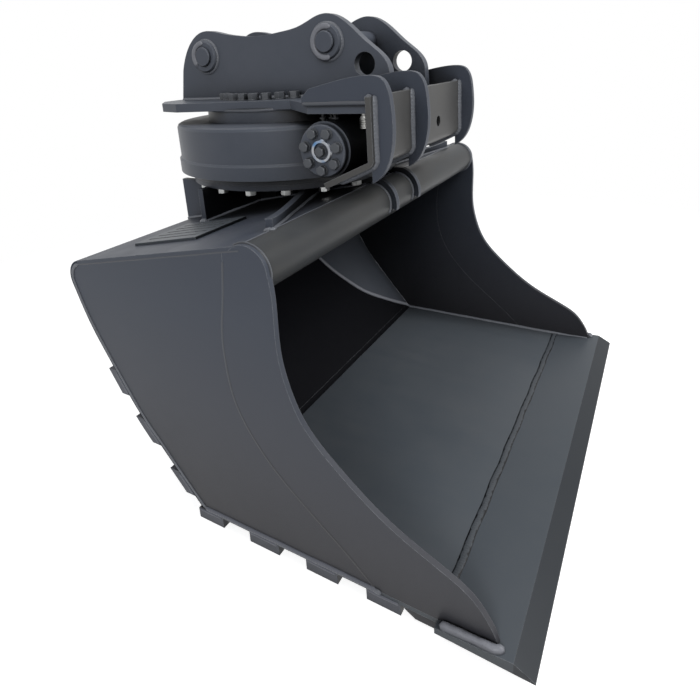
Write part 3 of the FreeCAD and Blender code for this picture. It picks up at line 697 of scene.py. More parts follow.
class Builder:
    """Turns meshes into objects and keeps one material for each finish."""

    def __init__(self, frame: dict) -> None:
        """Keep the frame and start with no materials.
        """
        self.frame = frame
        self.materials: dict[str, bpy.types.Material] = {}

    def finish(self, coat: Paint | WeldPaint | Steel) -> bpy.types.Material:
        """The material of a finish, made on first use."""
        if coat.name not in self.materials:
            self.materials[coat.name] = coat.material()
        return self.materials[coat.name]

    def dress(self, nodes: Sequence[str], coat: Paint | WeldPaint | Steel) -> None:
        """Give carried-over nodes a finish.

        Args:
            nodes: Names of the nodes.
            coat: Their finish.
        """
        for name in nodes:
            mesh = self.frame["nodes"][name].data
            mesh.materials.clear()
            mesh.materials.append(self.finish(coat))
            LOG.info("dressed %s in %s", name, coat.name)

    def add(
        self, name: str, mesh: Mesh, body: Body, coat: Paint | WeldPaint | Steel, slot: str,
        replaces: Sequence[str] = (), crease: float | None = None,
    ) -> bpy.types.Object:
        """Make an object that rides on a body.

        Args:
            name: Name of the piece.
            mesh: Its surface.
            body: Body that carries it.
            coat: Its finish.
            slot: Material slot of the record; not used.
            replaces: Nodes that it stands for.
            crease: Angle in degrees past which an edge stays sharp, or None for smooth.

        Returns:
            The object.
        """
        data = bpy.data.meshes.new(name)
        faces = [mesh.quads.ravel()]
        sizes = [np.full(len(mesh.quads), 4)]
        for centre, rim in mesh.fans:
            fan = np.stack([np.full(len(rim), centre), rim, np.roll(rim, -1)], axis=1)
            faces.append(fan.ravel())
            sizes.append(np.full(len(rim), 3))
        loops, counts = np.concatenate(faces), np.concatenate(sizes)
        data.vertices.add(len(mesh.vertices))
        data.vertices.foreach_set("co", mesh.vertices.astype(np.float32).ravel())
        data.loops.add(len(loops))
        data.loops.foreach_set("vertex_index", loops.astype(np.int32))
        data.polygons.add(len(counts))
        starts = np.concatenate([[0], np.cumsum(counts)[:-1]])
        data.polygons.foreach_set("loop_start", starts.astype(np.int32))
        if mesh.map_values is not None:
            layer = data.uv_layers.new(name="bead")
            flat = mesh.map_values.reshape(-1, 2)
            flat = np.concatenate([flat, np.zeros((len(mesh.vertices) - len(flat), 2))])
            layer.data.foreach_set("uv", flat[loops].astype(np.float32).ravel())
        data.update(calc_edges=True)
        data.validate()
        data.shade_smooth()
        if crease is not None:
            data.set_sharp_from_angle(angle=math.radians(crease))
        data.materials.append(self.finish(coat))
        made = bpy.data.objects.new(name, data)
        bpy.context.scene.collection.objects.link(made)
        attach(made, body.value)
        if replaces:
            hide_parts(*replaces)
        LOG.info("made %s with %d faces", name, len(counts))
        return made


# ---------------------------------------------------------------- steelwork lines

TUBE = (-374.0, 845.0)
TUBE_R = 63.5
UP = (math.sin(RISE), math.cos(RISE))
TUBE_TOP = (TUBE[0] + UP[0] * TUBE_R, TUBE[1] + UP[1] * TUBE_R)
INNER_START = (TUBE_TOP[0] - UP[0] * 12.0, TUBE_TOP[1] - UP[1] * 12.0)
BACK_TOP = (330.0, INNER_START[1] - (330.0 - INNER_START[0]) * math.tan(RISE))
SHELL_CORNERS = [INNER_START, BACK_TOP, (272.0, 585.0), (118.0, 312.0), (-103.0, 46.0), (-935.0, 46.0)]
SHELL_RADII = [48.0, 700.0, 900.0, 26.0]
SEAM = [(-309.0, 862.0), (-292.0, 759.0), (-276.0, 674.0), (-272.0, 583.0), (-283.0, 486.0),
        (-441.0, 251.0), (-553.0, 158.0), (-650.0, 72.0), (-676.0, 46.0)]
CORNER = [(734.0, 52.0), (613.0, 126.0), (490.0, 219.0), (414.0, 316.0), (367.0, 385.0),
          (334.0, 455.0), (312.0, 530.0), (298.0, 625.0)]


def roof(y: Array | float) -> Array | float:
    """Height of the sloping top plate at depth y, a straight line of eleven degrees."""
    return TUBE_TOP[1] - (y - TUBE_TOP[0]) * math.tan(RISE)


def lift(line: Array, x: float) -> Array:
    """Set a (y, z) line at one x."""
    return np.column_stack([np.full(len(line), x), line])


def straight(*points: Sequence[float]) -> Array:
    """Polyline through the given points, cut finely enough to follow its corners."""
    return even(np.asarray(points, float), 4.0)


def circle(centre: Sequence[float], radius: float, start: float = 0.0, end: float = 360.0) -> tuple[Array, Array]:
    """Arc in a plane across X, as cosines and sines of an even angle.

    Args:
        centre: Middle (y, z).
        radius: Radius.
        start: First angle in degrees from +Y.
        end: Last angle.

    Returns:
        Points (y, z) and outward directions.
    """
    a = np.radians(np.linspace(start, end, 121))
    out = np.column_stack([np.cos(a), np.sin(a)])
    return np.asarray(centre) + radius * out, out


@dataclass
class SubAssembly:
    """Base of every sub-assembly: it dresses nodes and lays welds on one body."""

    builder: Builder
    body: Body = Body.BUCKET

    def weld(
        self, name: str, runs: Sequence[tuple[Array, Array]], run: Run, loop: bool = False, coat: WeldPaint = WELD
    ) -> bpy.types.Object:
        """Lay weld beads as one piece.

        Args:
            name: Name of the piece.
            runs: Foot line and crown direction of each bead.
            run: Shape of the beads.
            loop: Whether each line closes on itself.
            coat: Finish of the beads.

        Returns:
            The piece.
        """
        beads = [run.surface(path, up, loop, seed=k + len(name)) for k, (path, up) in enumerate(runs)]
        return self.builder.add(name, joined(beads), self.body, coat, "paint")


@dataclass(frozen=True)
class Hexagon:
    """Chamfered hexagon head with a turned washer face."""

    head: float
    height: float
    washer: float = 3.0

    def surface(self, spot: Sequence[float], axis: Sequence[float], turn: float = 15.0) -> Mesh:
        """Head standing on a point.

        Going round, the wall's radius is half the width over the cosine of the angle
        from the nearest flat, and the rim drops with that radius as a cone cuts it.

        Args:
            spot: Middle of the seat in millimetres.
            axis: Direction in which the head stands.
            turn: Angle of the first corner.

        Returns:
            The head.
        """
        w = unit(np.asarray(axis, float))
        u = unit(np.cross(w, [0.3, 0.7, 0.64] if abs(w[2]) > 0.9 else [0.0, 0.0, 1.0]))
        v = np.cross(w, u)
        theta = np.radians(np.arange(36) * 10.0)
        half = self.head / 2.0
        wall = half / np.cos((theta + math.pi / 6) % (math.pi / 3) - math.pi / 6)
        flat, top, round_r = half * 0.93, self.washer + self.height, self.head * 0.6
        rim = top - (wall - flat) * math.tan(math.radians(30.0))
        one = np.ones_like(theta)
        radii = np.stack([one * round_r, one * round_r, one * (round_r - 0.7), wall, wall, one * flat, one * flat * 0.3])
        heights = np.stack([one * 0.0, one * (self.washer - 0.7), one * self.washer, one * self.washer, rim,
                            one * top, one * top])
        phi = theta + math.radians(turn)
        rings = (
            np.asarray(spot, float)
            + radii[..., None] * (np.cos(phi)[:, None] * u + np.sin(phi)[:, None] * v)
            + heights[..., None] * w
        )
        return Mesh.from_rings(place(rings))


@dataclass(frozen=True)
class Turned:
    """Solid of revolution from a profile of (distance along the axis, radius)."""

    profile: tuple[tuple[float, float], ...]

    def surface(self, spot: Sequence[float], axis: Sequence[float], sides: int = 48) -> Mesh:
        """Turn the profile about an axis.

        Args:
            spot: Start of the axis in millimetres.
            axis: Direction of the axis.
            sides: Points round it.

        Returns:
            The closed solid.
        """
        w = unit(np.asarray(axis, float))
        u = unit(np.cross(w, [1.0, 0.0, 0.0] if abs(w[0]) < 0.9 else [0.0, 1.0, 0.0]))
        v = np.cross(w, u)
        theta = np.linspace(0, 2 * np.pi, sides, endpoint=False)
        p = np.asarray(self.profile, float)
        around = np.cos(theta)[:, None] * u + np.sin(theta)[:, None] * v
        rings = np.asarray(spot, float) + p[:, 0, None, None] * w + p[:, 1, None, None] * around
        return Mesh.from_rings(place(rings))


# ---------------------------------------------------------------- sub-assemblies


@dataclass
class BucketShell(SubAssembly):
    """Bent shell, side plates, cutting edge and wear blocks."""

    outer_x: float = 750.0
    side_t: float = 16.0
    shell_t: float = 12.0
    seam_y: float = -837.0
    floor_z: float = 46.0
    heel_y: float = -103.0
    back_blocks: tuple[tuple[float, float], ...] = ((357.0, 434.0), (212.0, 288.0), (72.0, 140.0))
    floor_blocks: tuple[tuple[float, float], ...] = ((-170.0, -74.0), (-374.0, -270.0), (-563.0, -465.0),
                                                     (-742.0, -648.0))
    edge_run: Run = Run(5.5, 3.0, 5.0)
    foot_run: Run = Run(8.0, 4.5, 9.0, 0.5)
    block_run: Run = Run(4.5, 3.5, 6.0, 0.8)
    thin_run: Run = Run(2.2, 0.8, 4.5, 0.3)
    seam_run: Run = Run(3.4, 0.8, 4.0, 0.5)
    inner_run: Run = Run(8.5, 6.0, 7.5)
    floor_run: Run = Run(11.0, 3.0, 8.0, 1.2)
    blade_run: Run = Run(10.5, 13.0, 30.0, 0.4)

    def build(self) -> None:
        """Dress the plates and lay every weld of the shell."""
        plates = ["top_plate", "side_plate_left", "side_plate_right", "side_cutter_left", "side_cutter_right"]
        self.builder.dress(["back_plate", "heel_plate"], INNER_PAINTED_SHADE)
        self.builder.dress(["corner_plate_left", "corner_plate_right"], PATCH_PAINTED_LIGHT)
        blocks = [f"wear_blocks_{place_}_{side}" for place_ in ("back", "floor") for side in ("left", "right")]
        self.builder.dress(plates + ["seam_strip"], PLATE)
        self.builder.dress(blocks, BLOCK)
        self.builder.dress(["floor_plate"], FLOOR_PAINTED_LIGHT)
        self.builder.dress(["cutting_edge", "top_cover"], EDGE)
        line = bent_line(SHELL_CORNERS, SHELL_RADII)
        for side in Side:
            self.side_welds(side, line)
            self.block_welds(side, line)
        across = [self.outer_x - self.side_t - 3.0, 3.0 - self.outer_x + self.side_t]
        self.weld("floor_seam_weld", [(straight(*[(x, self.seam_y, self.floor_z) for x in across]),
                                       np.array([0.0, 0.0, 1.0]))], self.floor_run, coat=FLOOR_WELD)

    def blade_top(self, y: float) -> float:
        """Height of the cutting edge's upper face at depth y, behind its bevel."""
        return self.floor_z + 8.0 * (self.seam_y - y) / 179.0

    def block_welds(self, side: Side, line: Array) -> None:
        """Beads along the upper outside edge of each wear block.

        Args:
            side: Which side.
            line: The shell's inner line.
        """
        outer = side.value * self.outer_x
        fine = even(line, 6.0)
        t = unit(np.gradient(fine, axis=0))
        shell = fine + self.shell_t * np.column_stack([-t[:, 1], t[:, 0]])
        out = np.array([side.value, 0.0, 0.0])
        runs = []
        for low, high in self.back_blocks:
            part = shell[(shell[:, 1] > low + 4.0) & (shell[:, 1] < high - 4.0) & (shell[:, 0] > self.heel_y - 30.0)]
            runs.append((lift(part, outer), out))
        for front, rear in self.floor_blocks:
            z = self.floor_z - self.shell_t
            runs.append((straight((outer, rear - 4.0, z), (outer, front + 4.0, z)), out))
        self.weld(f"wear_block_weld_{side.name.lower()}", runs, self.block_run, coat=EDGE_WELD)

    def side_welds(self, side: Side, line: Array) -> None:
        """Welds of one side: shell edge, seam, inner corner, corner plate and blade.

        Args:
            side: Which side.
            line: The shell's inner line.
        """
        s, name = side.value, side.name.lower()
        out = np.array([s, 0.0, 0.0])
        outer = s * self.outer_x
        cut = int(np.argmax(line[:, 0] > 250.0))
        self.weld(f"top_edge_weld_{name}", [(lift(line[: cut + 1], outer), out)], self.thin_run, coat=SEAM_WELD)
        low = even(line[cut:], 4.0)
        low = low[low[:, 0] > -682.0]
        heel = int(np.argmax(low[:, 0] < self.heel_y))
        self.weld(f"shell_edge_weld_{name}", [(lift(low[: heel + 2], outer), out)], self.edge_run)
        self.weld(f"floor_edge_weld_{name}", [(lift(low[heel:], outer), out)], self.foot_run, coat=EDGE_WELD)
        seam = smooth_curve(SEAM, 220)
        self.weld(f"side_seam_weld_{name}", [(lift(seam, outer), out)], self.seam_run, coat=SEAM_WELD)
        self.weld(f"seam_end_weld_{name}", [(straight((outer, -668.0, 44.0), (outer, -692.0, 45.0)), out)],
                  Run(8.5, 6.0, 8.0))
        inner = even(line, 12.0)
        t = unit(np.gradient(inner, axis=0))
        corner = unit(np.column_stack([np.full(len(t), -s), t[:, 1], -t[:, 0]]))
        self.weld(f"inner_corner_weld_{name}", [(lift(inner, s * (self.outer_x - self.side_t)), corner)],
                  self.inner_run)
        curve = smooth_curve(CORNER, 120)
        back = line[(line[:, 0] > self.heel_y - 20.0) & (line[:, 1] < 700.0)][::-1]
        order = np.argsort(back[:, 1])
        y = np.interp(curve[:, 1], back[order, 1], back[order, 0])
        path = np.column_stack([s * curve[:, 0], y - 3.0, curve[:, 1] + 2.0])
        self.weld(f"corner_plate_weld_{name}", [(path, unit(np.array([-0.35 * s, -0.75, 0.62])))], self.inner_run,
                  coat=PALE_WELD)
        plan = [(760.0, -844.0), (760.0, -974.0), (756.0, -984.0), (745.0, -990.0)]
        foot = straight(*[(s * x, y, self.blade_top(y)) for x, y in plan])
        self.weld(f"blade_side_weld_{name}", [(foot, np.array([0.0, 0.0, 1.0]))], self.blade_run, coat=PALE_WELD)
        inside = straight(*[(s * (self.outer_x - self.side_t), y, self.blade_top(y)) for y in (-840.0, -974.0)])
        self.weld(f"blade_inner_weld_{name}", [(inside, unit(np.array([-s, 0.0, 1.0])))], self.edge_run)


@dataclass
class TorqueTube(SubAssembly):
    """Round tube along the front of the top plate and its welds."""

    half_length: float = 734.0
    run: Run = Run(5.0, 1.8, 5.0, 0.5)
    ring_run: Run = Run(6.0, 5.0, 5.0)

    def build(self) -> None:
        """Dress the tube and weld it to the plates."""
        self.builder.dress(["torque_tube"], ROUND)
        a, b = -self.half_length, self.half_length
        top = straight((a, *TUBE_TOP), (b, *TUBE_TOP))
        self.weld("tube_top_weld", [(top, np.array([0.0, *UP]))], self.run)
        along, down = (UP[1], -UP[0]), TUBE_R - 12.0
        reach = math.sqrt(TUBE_R**2 - down**2)
        y, z = (TUBE[k] + UP[k] * down + along[k] * reach for k in (0, 1))
        crown = unit(np.array([0.0, *(along[k] * 0.58 - UP[k] * 0.19 for k in (0, 1))]))
        self.weld("tube_under_weld", [(straight((a, y, z), (b, y, z)), crown)], Run(7.0, 5.0, 5.5))
        for side in Side:
            ring, out = circle(TUBE, TUBE_R)
            crowns = unit(np.column_stack([np.full(len(out), -side.value), out]))
            path = lift(ring, side.value * self.half_length)
            self.weld(f"tube_end_weld_{side.name.lower()}", [(path, crowns)], self.ring_run, loop=True)


@dataclass
class Pedestal(SubAssembly):
    """Webs, wings and ring that stand on the top plate under the slewing drive."""

    web_x: float = 90.0
    half_t: float = 10.0
    ring_end: tuple[float, float] = (225.0, -200.0)
    toe_end: tuple[float, float] = (625.0, -358.0)
    cross: tuple[float, float, float] = (387.0, 104.0, 124.0)
    run: Run = Run(6.5, 6.0, 5.5)
    blob: Run = Run(11.0, 10.0, 12.0, 0.0)

    def build(self) -> None:
        """Dress the pedestal and lay its fillets."""
        nodes = ["pedestal_cross_plate", "pedestal_ring"]
        for word in ("left", "right"):
            nodes += [f"pedestal_web_{word}", f"pedestal_wing_{word}", f"pedestal_rear_side_{word}"]
        self.builder.dress(nodes, PLATE)
        for side in Side:
            self.web_welds(side)
            self.wing_weld(side)
            self.rear_welds(side)
        self.cross_weld()

    def web_welds(self, side: Side) -> None:
        """Foot fillets of one web and the fillets of its hook round the tube."""
        s, name = side.value, side.name.lower()
        feet, hooks = [], []
        arc, out = circle(TUBE, TUBE_R, 211.0, 84.0)
        for face in (-1.0, 1.0):
            x = s * self.web_x + face * self.half_t
            feet.append((straight((x, -352.0, roof(-352.0)), (x, 316.0, roof(316.0))), unit(np.array([face, 0, 1.0]))))
            hooks.append((lift(arc, x), unit(np.column_stack([np.full(len(out), face), out]))))
        self.weld(f"web_foot_weld_{name}", feet, self.run)
        self.weld(f"hook_weld_{name}", hooks, Run(5.0, 4.5, 5.0))

    def wing_weld(self, side: Side) -> None:
        """Fillet down one face of a wing, round its toe and back up the other face."""
        s, name = side.value, side.name.lower()
        ring, toe = np.array(self.ring_end), np.array(self.toe_end)
        along = unit(toe - ring)
        across = np.array([-along[1], along[0]]) * self.half_t
        start = ring - along * 122.0
        plan = np.array([start + across, toe + across, toe - across, start - across])
        outward = np.array([across, across + along * 6.0, -across + along * 6.0, -across])
        both = even(np.concatenate([plan, outward], axis=1), 4.0)
        xy, direction = both[:, :2], unit(both[:, 2:])
        path = np.column_stack([s * xy[:, 0], xy[:, 1], roof(xy[:, 1])])
        crown = unit(np.column_stack([s * direction[:, 0], direction[:, 1], np.ones(len(xy))]))
        self.weld(f"wing_weld_{name}", [(path, crown)], self.run)
        tip = toe + along * 3.0
        blob = straight((s * (tip[0] - 5.0), tip[1] - 9.0, roof(tip[1] - 9.0)),
                        (s * (tip[0] + 5.0), tip[1] + 12.0, roof(tip[1] + 12.0)))
        self.weld(f"wing_toe_weld_{name}", [(blob, np.array([0.0, 0.0, 1.0]))], self.blob)

    def rear_welds(self, side: Side) -> None:
        """Foot fillets of one rear side wall."""
        s, name = side.value, side.name.lower()
        runs = []
        for face in (-1.0, 1.0):
            x = s * 262.0 + face * self.half_t
            path = straight((x, 126.0, roof(126.0)), (x, 318.0, roof(318.0)))
            runs.append((path, unit(np.array([face, 0.0, 1.0]))))
        self.weld(f"rear_side_weld_{name}", runs, self.run)

    def cross_weld(self) -> None:
        """Foot fillets of the cross plate and a blob at each end."""
        x, front, rear = self.cross
        runs = []
        for y, face in ((front, -1.0), (rear, 1.0)):
            for s in (-1.0, 1.0):
                path = straight((s * (x + 2.0), y, roof(y)), (s * 102.0, y, roof(y)))
                runs.append((path, unit(np.array([0.0, face, 1.0]))))
        self.weld("cross_foot_weld", runs, self.run)
        ends = [(straight((s * (x + 3.0), front - 6.0, roof(front - 6.0)), (s * (x + 3.0), rear + 6.0, roof(rear + 6.0))),
                 unit(np.array([s, 0.0, 1.0]))) for s in (-1.0, 1.0)]
        self.weld("cross_end_weld", ends, self.blob)


@dataclass
class SlewDrive(SubAssembly):
    """Slewing ring on the bucket, with its lower bolts."""

    bolt_circle: float = 343.0
    count: int = 18
    seat_z: float = 925.0
    bolt: Hexagon = Hexagon(32.0, 16.0)

    def build(self) -> None:
        """Dress the ring and gear and set the bright bolts under them."""
        self.builder.dress(["slew_ring"], CAST)
        self.builder.dress(["ring_gear"], TOOLED)
        heads = []
        for k in range(self.count):
            a = math.radians(360.0 / self.count * (k + 0.5))
            spot = (self.bolt_circle * math.cos(a), self.bolt_circle * math.sin(a), self.seat_z)
            heads.append(self.bolt.surface(spot, (0, 0, -1), turn=17.0 * k))
        self.builder.add("lower_bolt_heads", joined(heads), self.body, ZINC, "zinc", ["lower_bolts"], crease=25.0)


@dataclass
class DriveHousing(SubAssembly):
    """Housing of the slewing drive with the worm casing, its cap and motor."""

    body: Body = Body.HITCH
    hub_seat: float = 295.0
    plate_low: float = 1168.0
    cap_x: float = -418.0
    worm: tuple[float, float] = (-395.0, 1071.0)
    cap_bolt: Hexagon = Hexagon(25.0, 12.0)
    centre_bolt: Hexagon = Hexagon(24.0, 13.0)

    def build(self) -> None:
        """Dress the castings and make bolt heads, studs and the hub weld."""
        self.builder.dress(["slew_housing", "slew_hub", "hub_flange", "retaining_ring", "worm_casing", "motor_flange",
                            "motor_body", "motor_port_block", "end_cap"], CAST)
        self.builder.dress(["end_cap_ring"], BRIGHT)
        self.builder.dress(["motor_ports"], ZINC)
        self.builder.dress(["worm_bearing_left", "worm_bearing_right", "worm_shaft"], TOOLED)
        y, z = self.worm
        heads = []
        for k in range(7):
            a = math.radians(360.0 / 7 * k - 90.0)
            spot = (self.cap_x, y + 52.0 * math.cos(a), z + 52.0 * math.sin(a))
            heads.append(self.cap_bolt.surface(spot, (-1, 0, 0), turn=23.0 * k))
        self.builder.add("cap_bolt_heads", joined(heads), self.body, BOLT, "paint", ["end_cap_bolts"], crease=25.0)
        centre = self.centre_bolt.surface((self.cap_x, y, z), (-1, 0, 0), 5.0)
        self.builder.add("cap_centre_head", centre, self.body, BOLT, "paint", ["end_cap_centre_bolt"], crease=25.0)
        a = np.linspace(0.0, 2 * np.pi, 241)
        ring = np.column_stack([self.hub_seat * np.cos(a), self.hub_seat * np.sin(a), np.full(241, self.plate_low)])
        crown = unit(np.column_stack([np.cos(a), np.sin(a), np.full(241, -1.0)]))
        self.weld("hub_weld", [(ring, crown)], Run(6.0, 5.0, 5.5), loop=True)
        self.studs()

    def studs(self) -> None:
        """Short threaded studs between the casing and the hitch plate, and a ribbed fitting."""
        stud = Turned(((0.0, 4.0), (0.0, 6.0), (6.0, 6.0), (6.0, 10.5), (11.0, 10.5), (11.0, 5.5), (24.0, 5.5), (24.0, 2.0)))
        spots = [(-352.0, -366.0), (-340.0, -385.0), (-352.0, -404.0)]
        parts = [stud.surface((x, y, 1143.5), (0, 0, 1), 24) for x, y in spots]
        self.builder.add("casing_studs", joined(parts), self.body, BOLT, "paint", crease=30.0)
        steps = [(0.0, 6.0), (0.0, 12.0)]
        for k in range(5):
            steps += [(1.5 + 6 * k, 14.5), (4.5 + 6 * k, 14.5), (5.5 + 6 * k, 12.5), (6.8 + 6 * k, 12.5)]
        steps += [(34.0, 12.0), (34.0, 9.0), (44.0, 9.0), (44.0, 3.0)]
        fitting = Turned(tuple(steps)).surface((-352.0, -496.0, 1124.0), (0, 0, 1), 48)
        self.builder.add("ribbed_fitting", fitting, self.body, TOOLED, "steel", crease=30.0)


@dataclass
class Hitch(SubAssembly):
    """Hitch plate with its bolts, both ears and their pins."""

    body: Body = Body.HITCH
    top_z: float = 1196.0
    ear_outer: float = 150.0
    ear_t: float = 30.0
    ear_front: float = -479.0
    ear_rear: float = 385.0
    pins: tuple[tuple[float, float], ...] = ((239.0, 1343.0), (-268.0, 1360.0))
    collar_t: float = 14.0
    collar_bead_r: float = 45.0
    collar_arcs: tuple[tuple[float, float], ...] = ((-40.0, 95.0), (-110.0, 120.0))
    bolt: Hexagon = Hexagon(32.0, 19.0)

    def build(self) -> None:
        """Dress the hitch, set its bolts and weld the ears and collars."""
        nodes = ["hitch_plate", "ear_left", "ear_right", "pin_rear", "pin_front"]
        nodes += [f"pin_collar_{end}_{word}" for end in ("rear", "front") for word in ("left", "right")]
        self.builder.dress(nodes, CAST)
        heads = []
        for k in range(32):
            a = math.radians(360.0 / 32 * (k + 0.5))
            x, y = 232.0 * math.cos(a), 232.0 * math.sin(a)
            if abs(abs(x) - (self.ear_outer - self.ear_t / 2)) > self.ear_t / 2 + 20.0:
                heads.append(self.bolt.surface((x, y, self.top_z), (0, 0, 1), turn=31.0 * k))
        self.builder.add("hitch_bolt_heads", joined(heads), self.body, BOLT, "paint", ["hitch_bolts"], crease=25.0)
        for side in Side:
            self.ear_welds(side)

    def ear_welds(self, side: Side) -> None:
        """Fillet round the foot of one ear and round its two collars."""
        s, name = side.value, side.name.lower()
        outer, inner = s * self.ear_outer, s * (self.ear_outer - self.ear_t)
        runs = []
        for x, face in ((outer, s), (inner, -s)):
            path = straight((x, self.ear_front - 1.0, self.top_z), (x, self.ear_rear + 1.0, self.top_z))
            runs.append((path, unit(np.array([face, 0.0, 1.0]))))
        for y, face in ((self.ear_front, -1.0), (self.ear_rear, 1.0)):
            path = straight((outer, y, self.top_z), (inner, y, self.top_z))
            runs.append((path, unit(np.array([0.0, face, 1.0]))))
        self.weld(f"ear_foot_weld_{name}", runs, Run(8.0, 7.0, 6.0))
        rings, lumps = [], []
        for k, pin in enumerate(self.pins):
            ring, out = circle(pin, 54.0)
            rings.append((lift(ring, outer), unit(np.column_stack([np.full(len(out), s), out]))))
            arc, _ = circle(pin, self.collar_bead_r, *self.collar_arcs[k])
            lumps.append((lift(arc, outer + s * self.collar_t), np.array([s, 0.0, 0.0])))
        self.weld(f"collar_weld_{name}", rings, Run(7.5, 6.0, 9.0), loop=True)
        self.weld(f"collar_crescent_{name}", lumps, Run(9.0, 5.0, 13.0, 1.5), coat=PALE_WELD)


@dataclass
class Guard(SubAssembly):
    """Bent guard plate in front of the worm with its three ribs."""

    body: Body = Body.HITCH
    face_y: float = -556.0
    thickness: float = 16.0
    near_x: float = -429.0
    far_x: float = 262.0
    low_z: float = 1037.0
    top_z: float = 1212.0
    lip_end: tuple[float, float] = (-407.0, 970.0)
    ribs: tuple[float, ...] = (-400.0, -168.0, 238.0)
    rib_half: float = 9.0
    run: Run = Run(10.5, 9.0, 10.0, 0.8)
    foot_run: Run = Run(6.5, 5.0, 6.0)

    def build(self) -> None:
        """Dress the guard and lay its fillets."""
        self.builder.dress(["guard_plate"], GUARD)
        self.builder.dress(["guard_rib_1", "guard_rib_2", "guard_rib_3"], PLATE)
        lip = unit(np.array([self.lip_end[0] - self.face_y, self.lip_end[1] - self.low_z]))
        lip_out = (lip[1], -lip[0])
        for k, rib in enumerate(self.ribs, start=1):
            fronts, tops = [], []
            for face in (-1.0, 1.0):
                x = rib + face * self.rib_half
                path = straight((x, self.face_y, self.top_z + 3.0), (x, self.face_y, self.low_z + 12.0),
                                (x, self.face_y + 8.0, self.low_z - 3.0),
                                (x, self.face_y + lip[0] * 128.0, self.low_z + lip[1] * 128.0))
                share = np.clip((self.low_z + 12.0 - path[:, 2]) / 15.0, 0.0, 1.0)[:, None]
                crown = (1 - share) * np.array([face, -1.0, 0.0]) + share * np.array([face, *lip_out])
                fronts.append((path, unit(crown)))
                foot = straight((x, -338.0, 1196.0), (x, self.face_y + self.thickness, 1196.0))
                tops.append((foot, unit(np.array([face, 0.0, 1.0]))))
            self.weld(f"rib_weld_{k}", fronts, self.run)
            self.weld(f"rib_foot_weld_{k}", tops, self.foot_run, coat=SEAM_WELD)
            knob = straight((rib - 11.0, self.face_y + 4.0, self.top_z + 1.0), (rib - 11.0, self.face_y + 26.0, self.top_z - 9.0))
            self.weld(f"rib_knob_weld_{k}", [(knob, unit(np.array([-0.6, 0.2, 1.0])))], Run(10.0, 10.0, 12.0, 0.0))
        y = self.face_y + self.thickness
        seams = [(straight((self.near_x + 2.0, y, 1196.0), (self.far_x - 2.0, y, 1196.0)), unit(np.array([0, 1.0, 1.0]))),
                 (straight((-396.0, y, 1168.0), (self.far_x - 2.0, y, 1168.0)), unit(np.array([0, 1.0, -1.0])))]
        self.weld("guard_plate_weld", seams, Run(7.0, 6.0, 6.0))


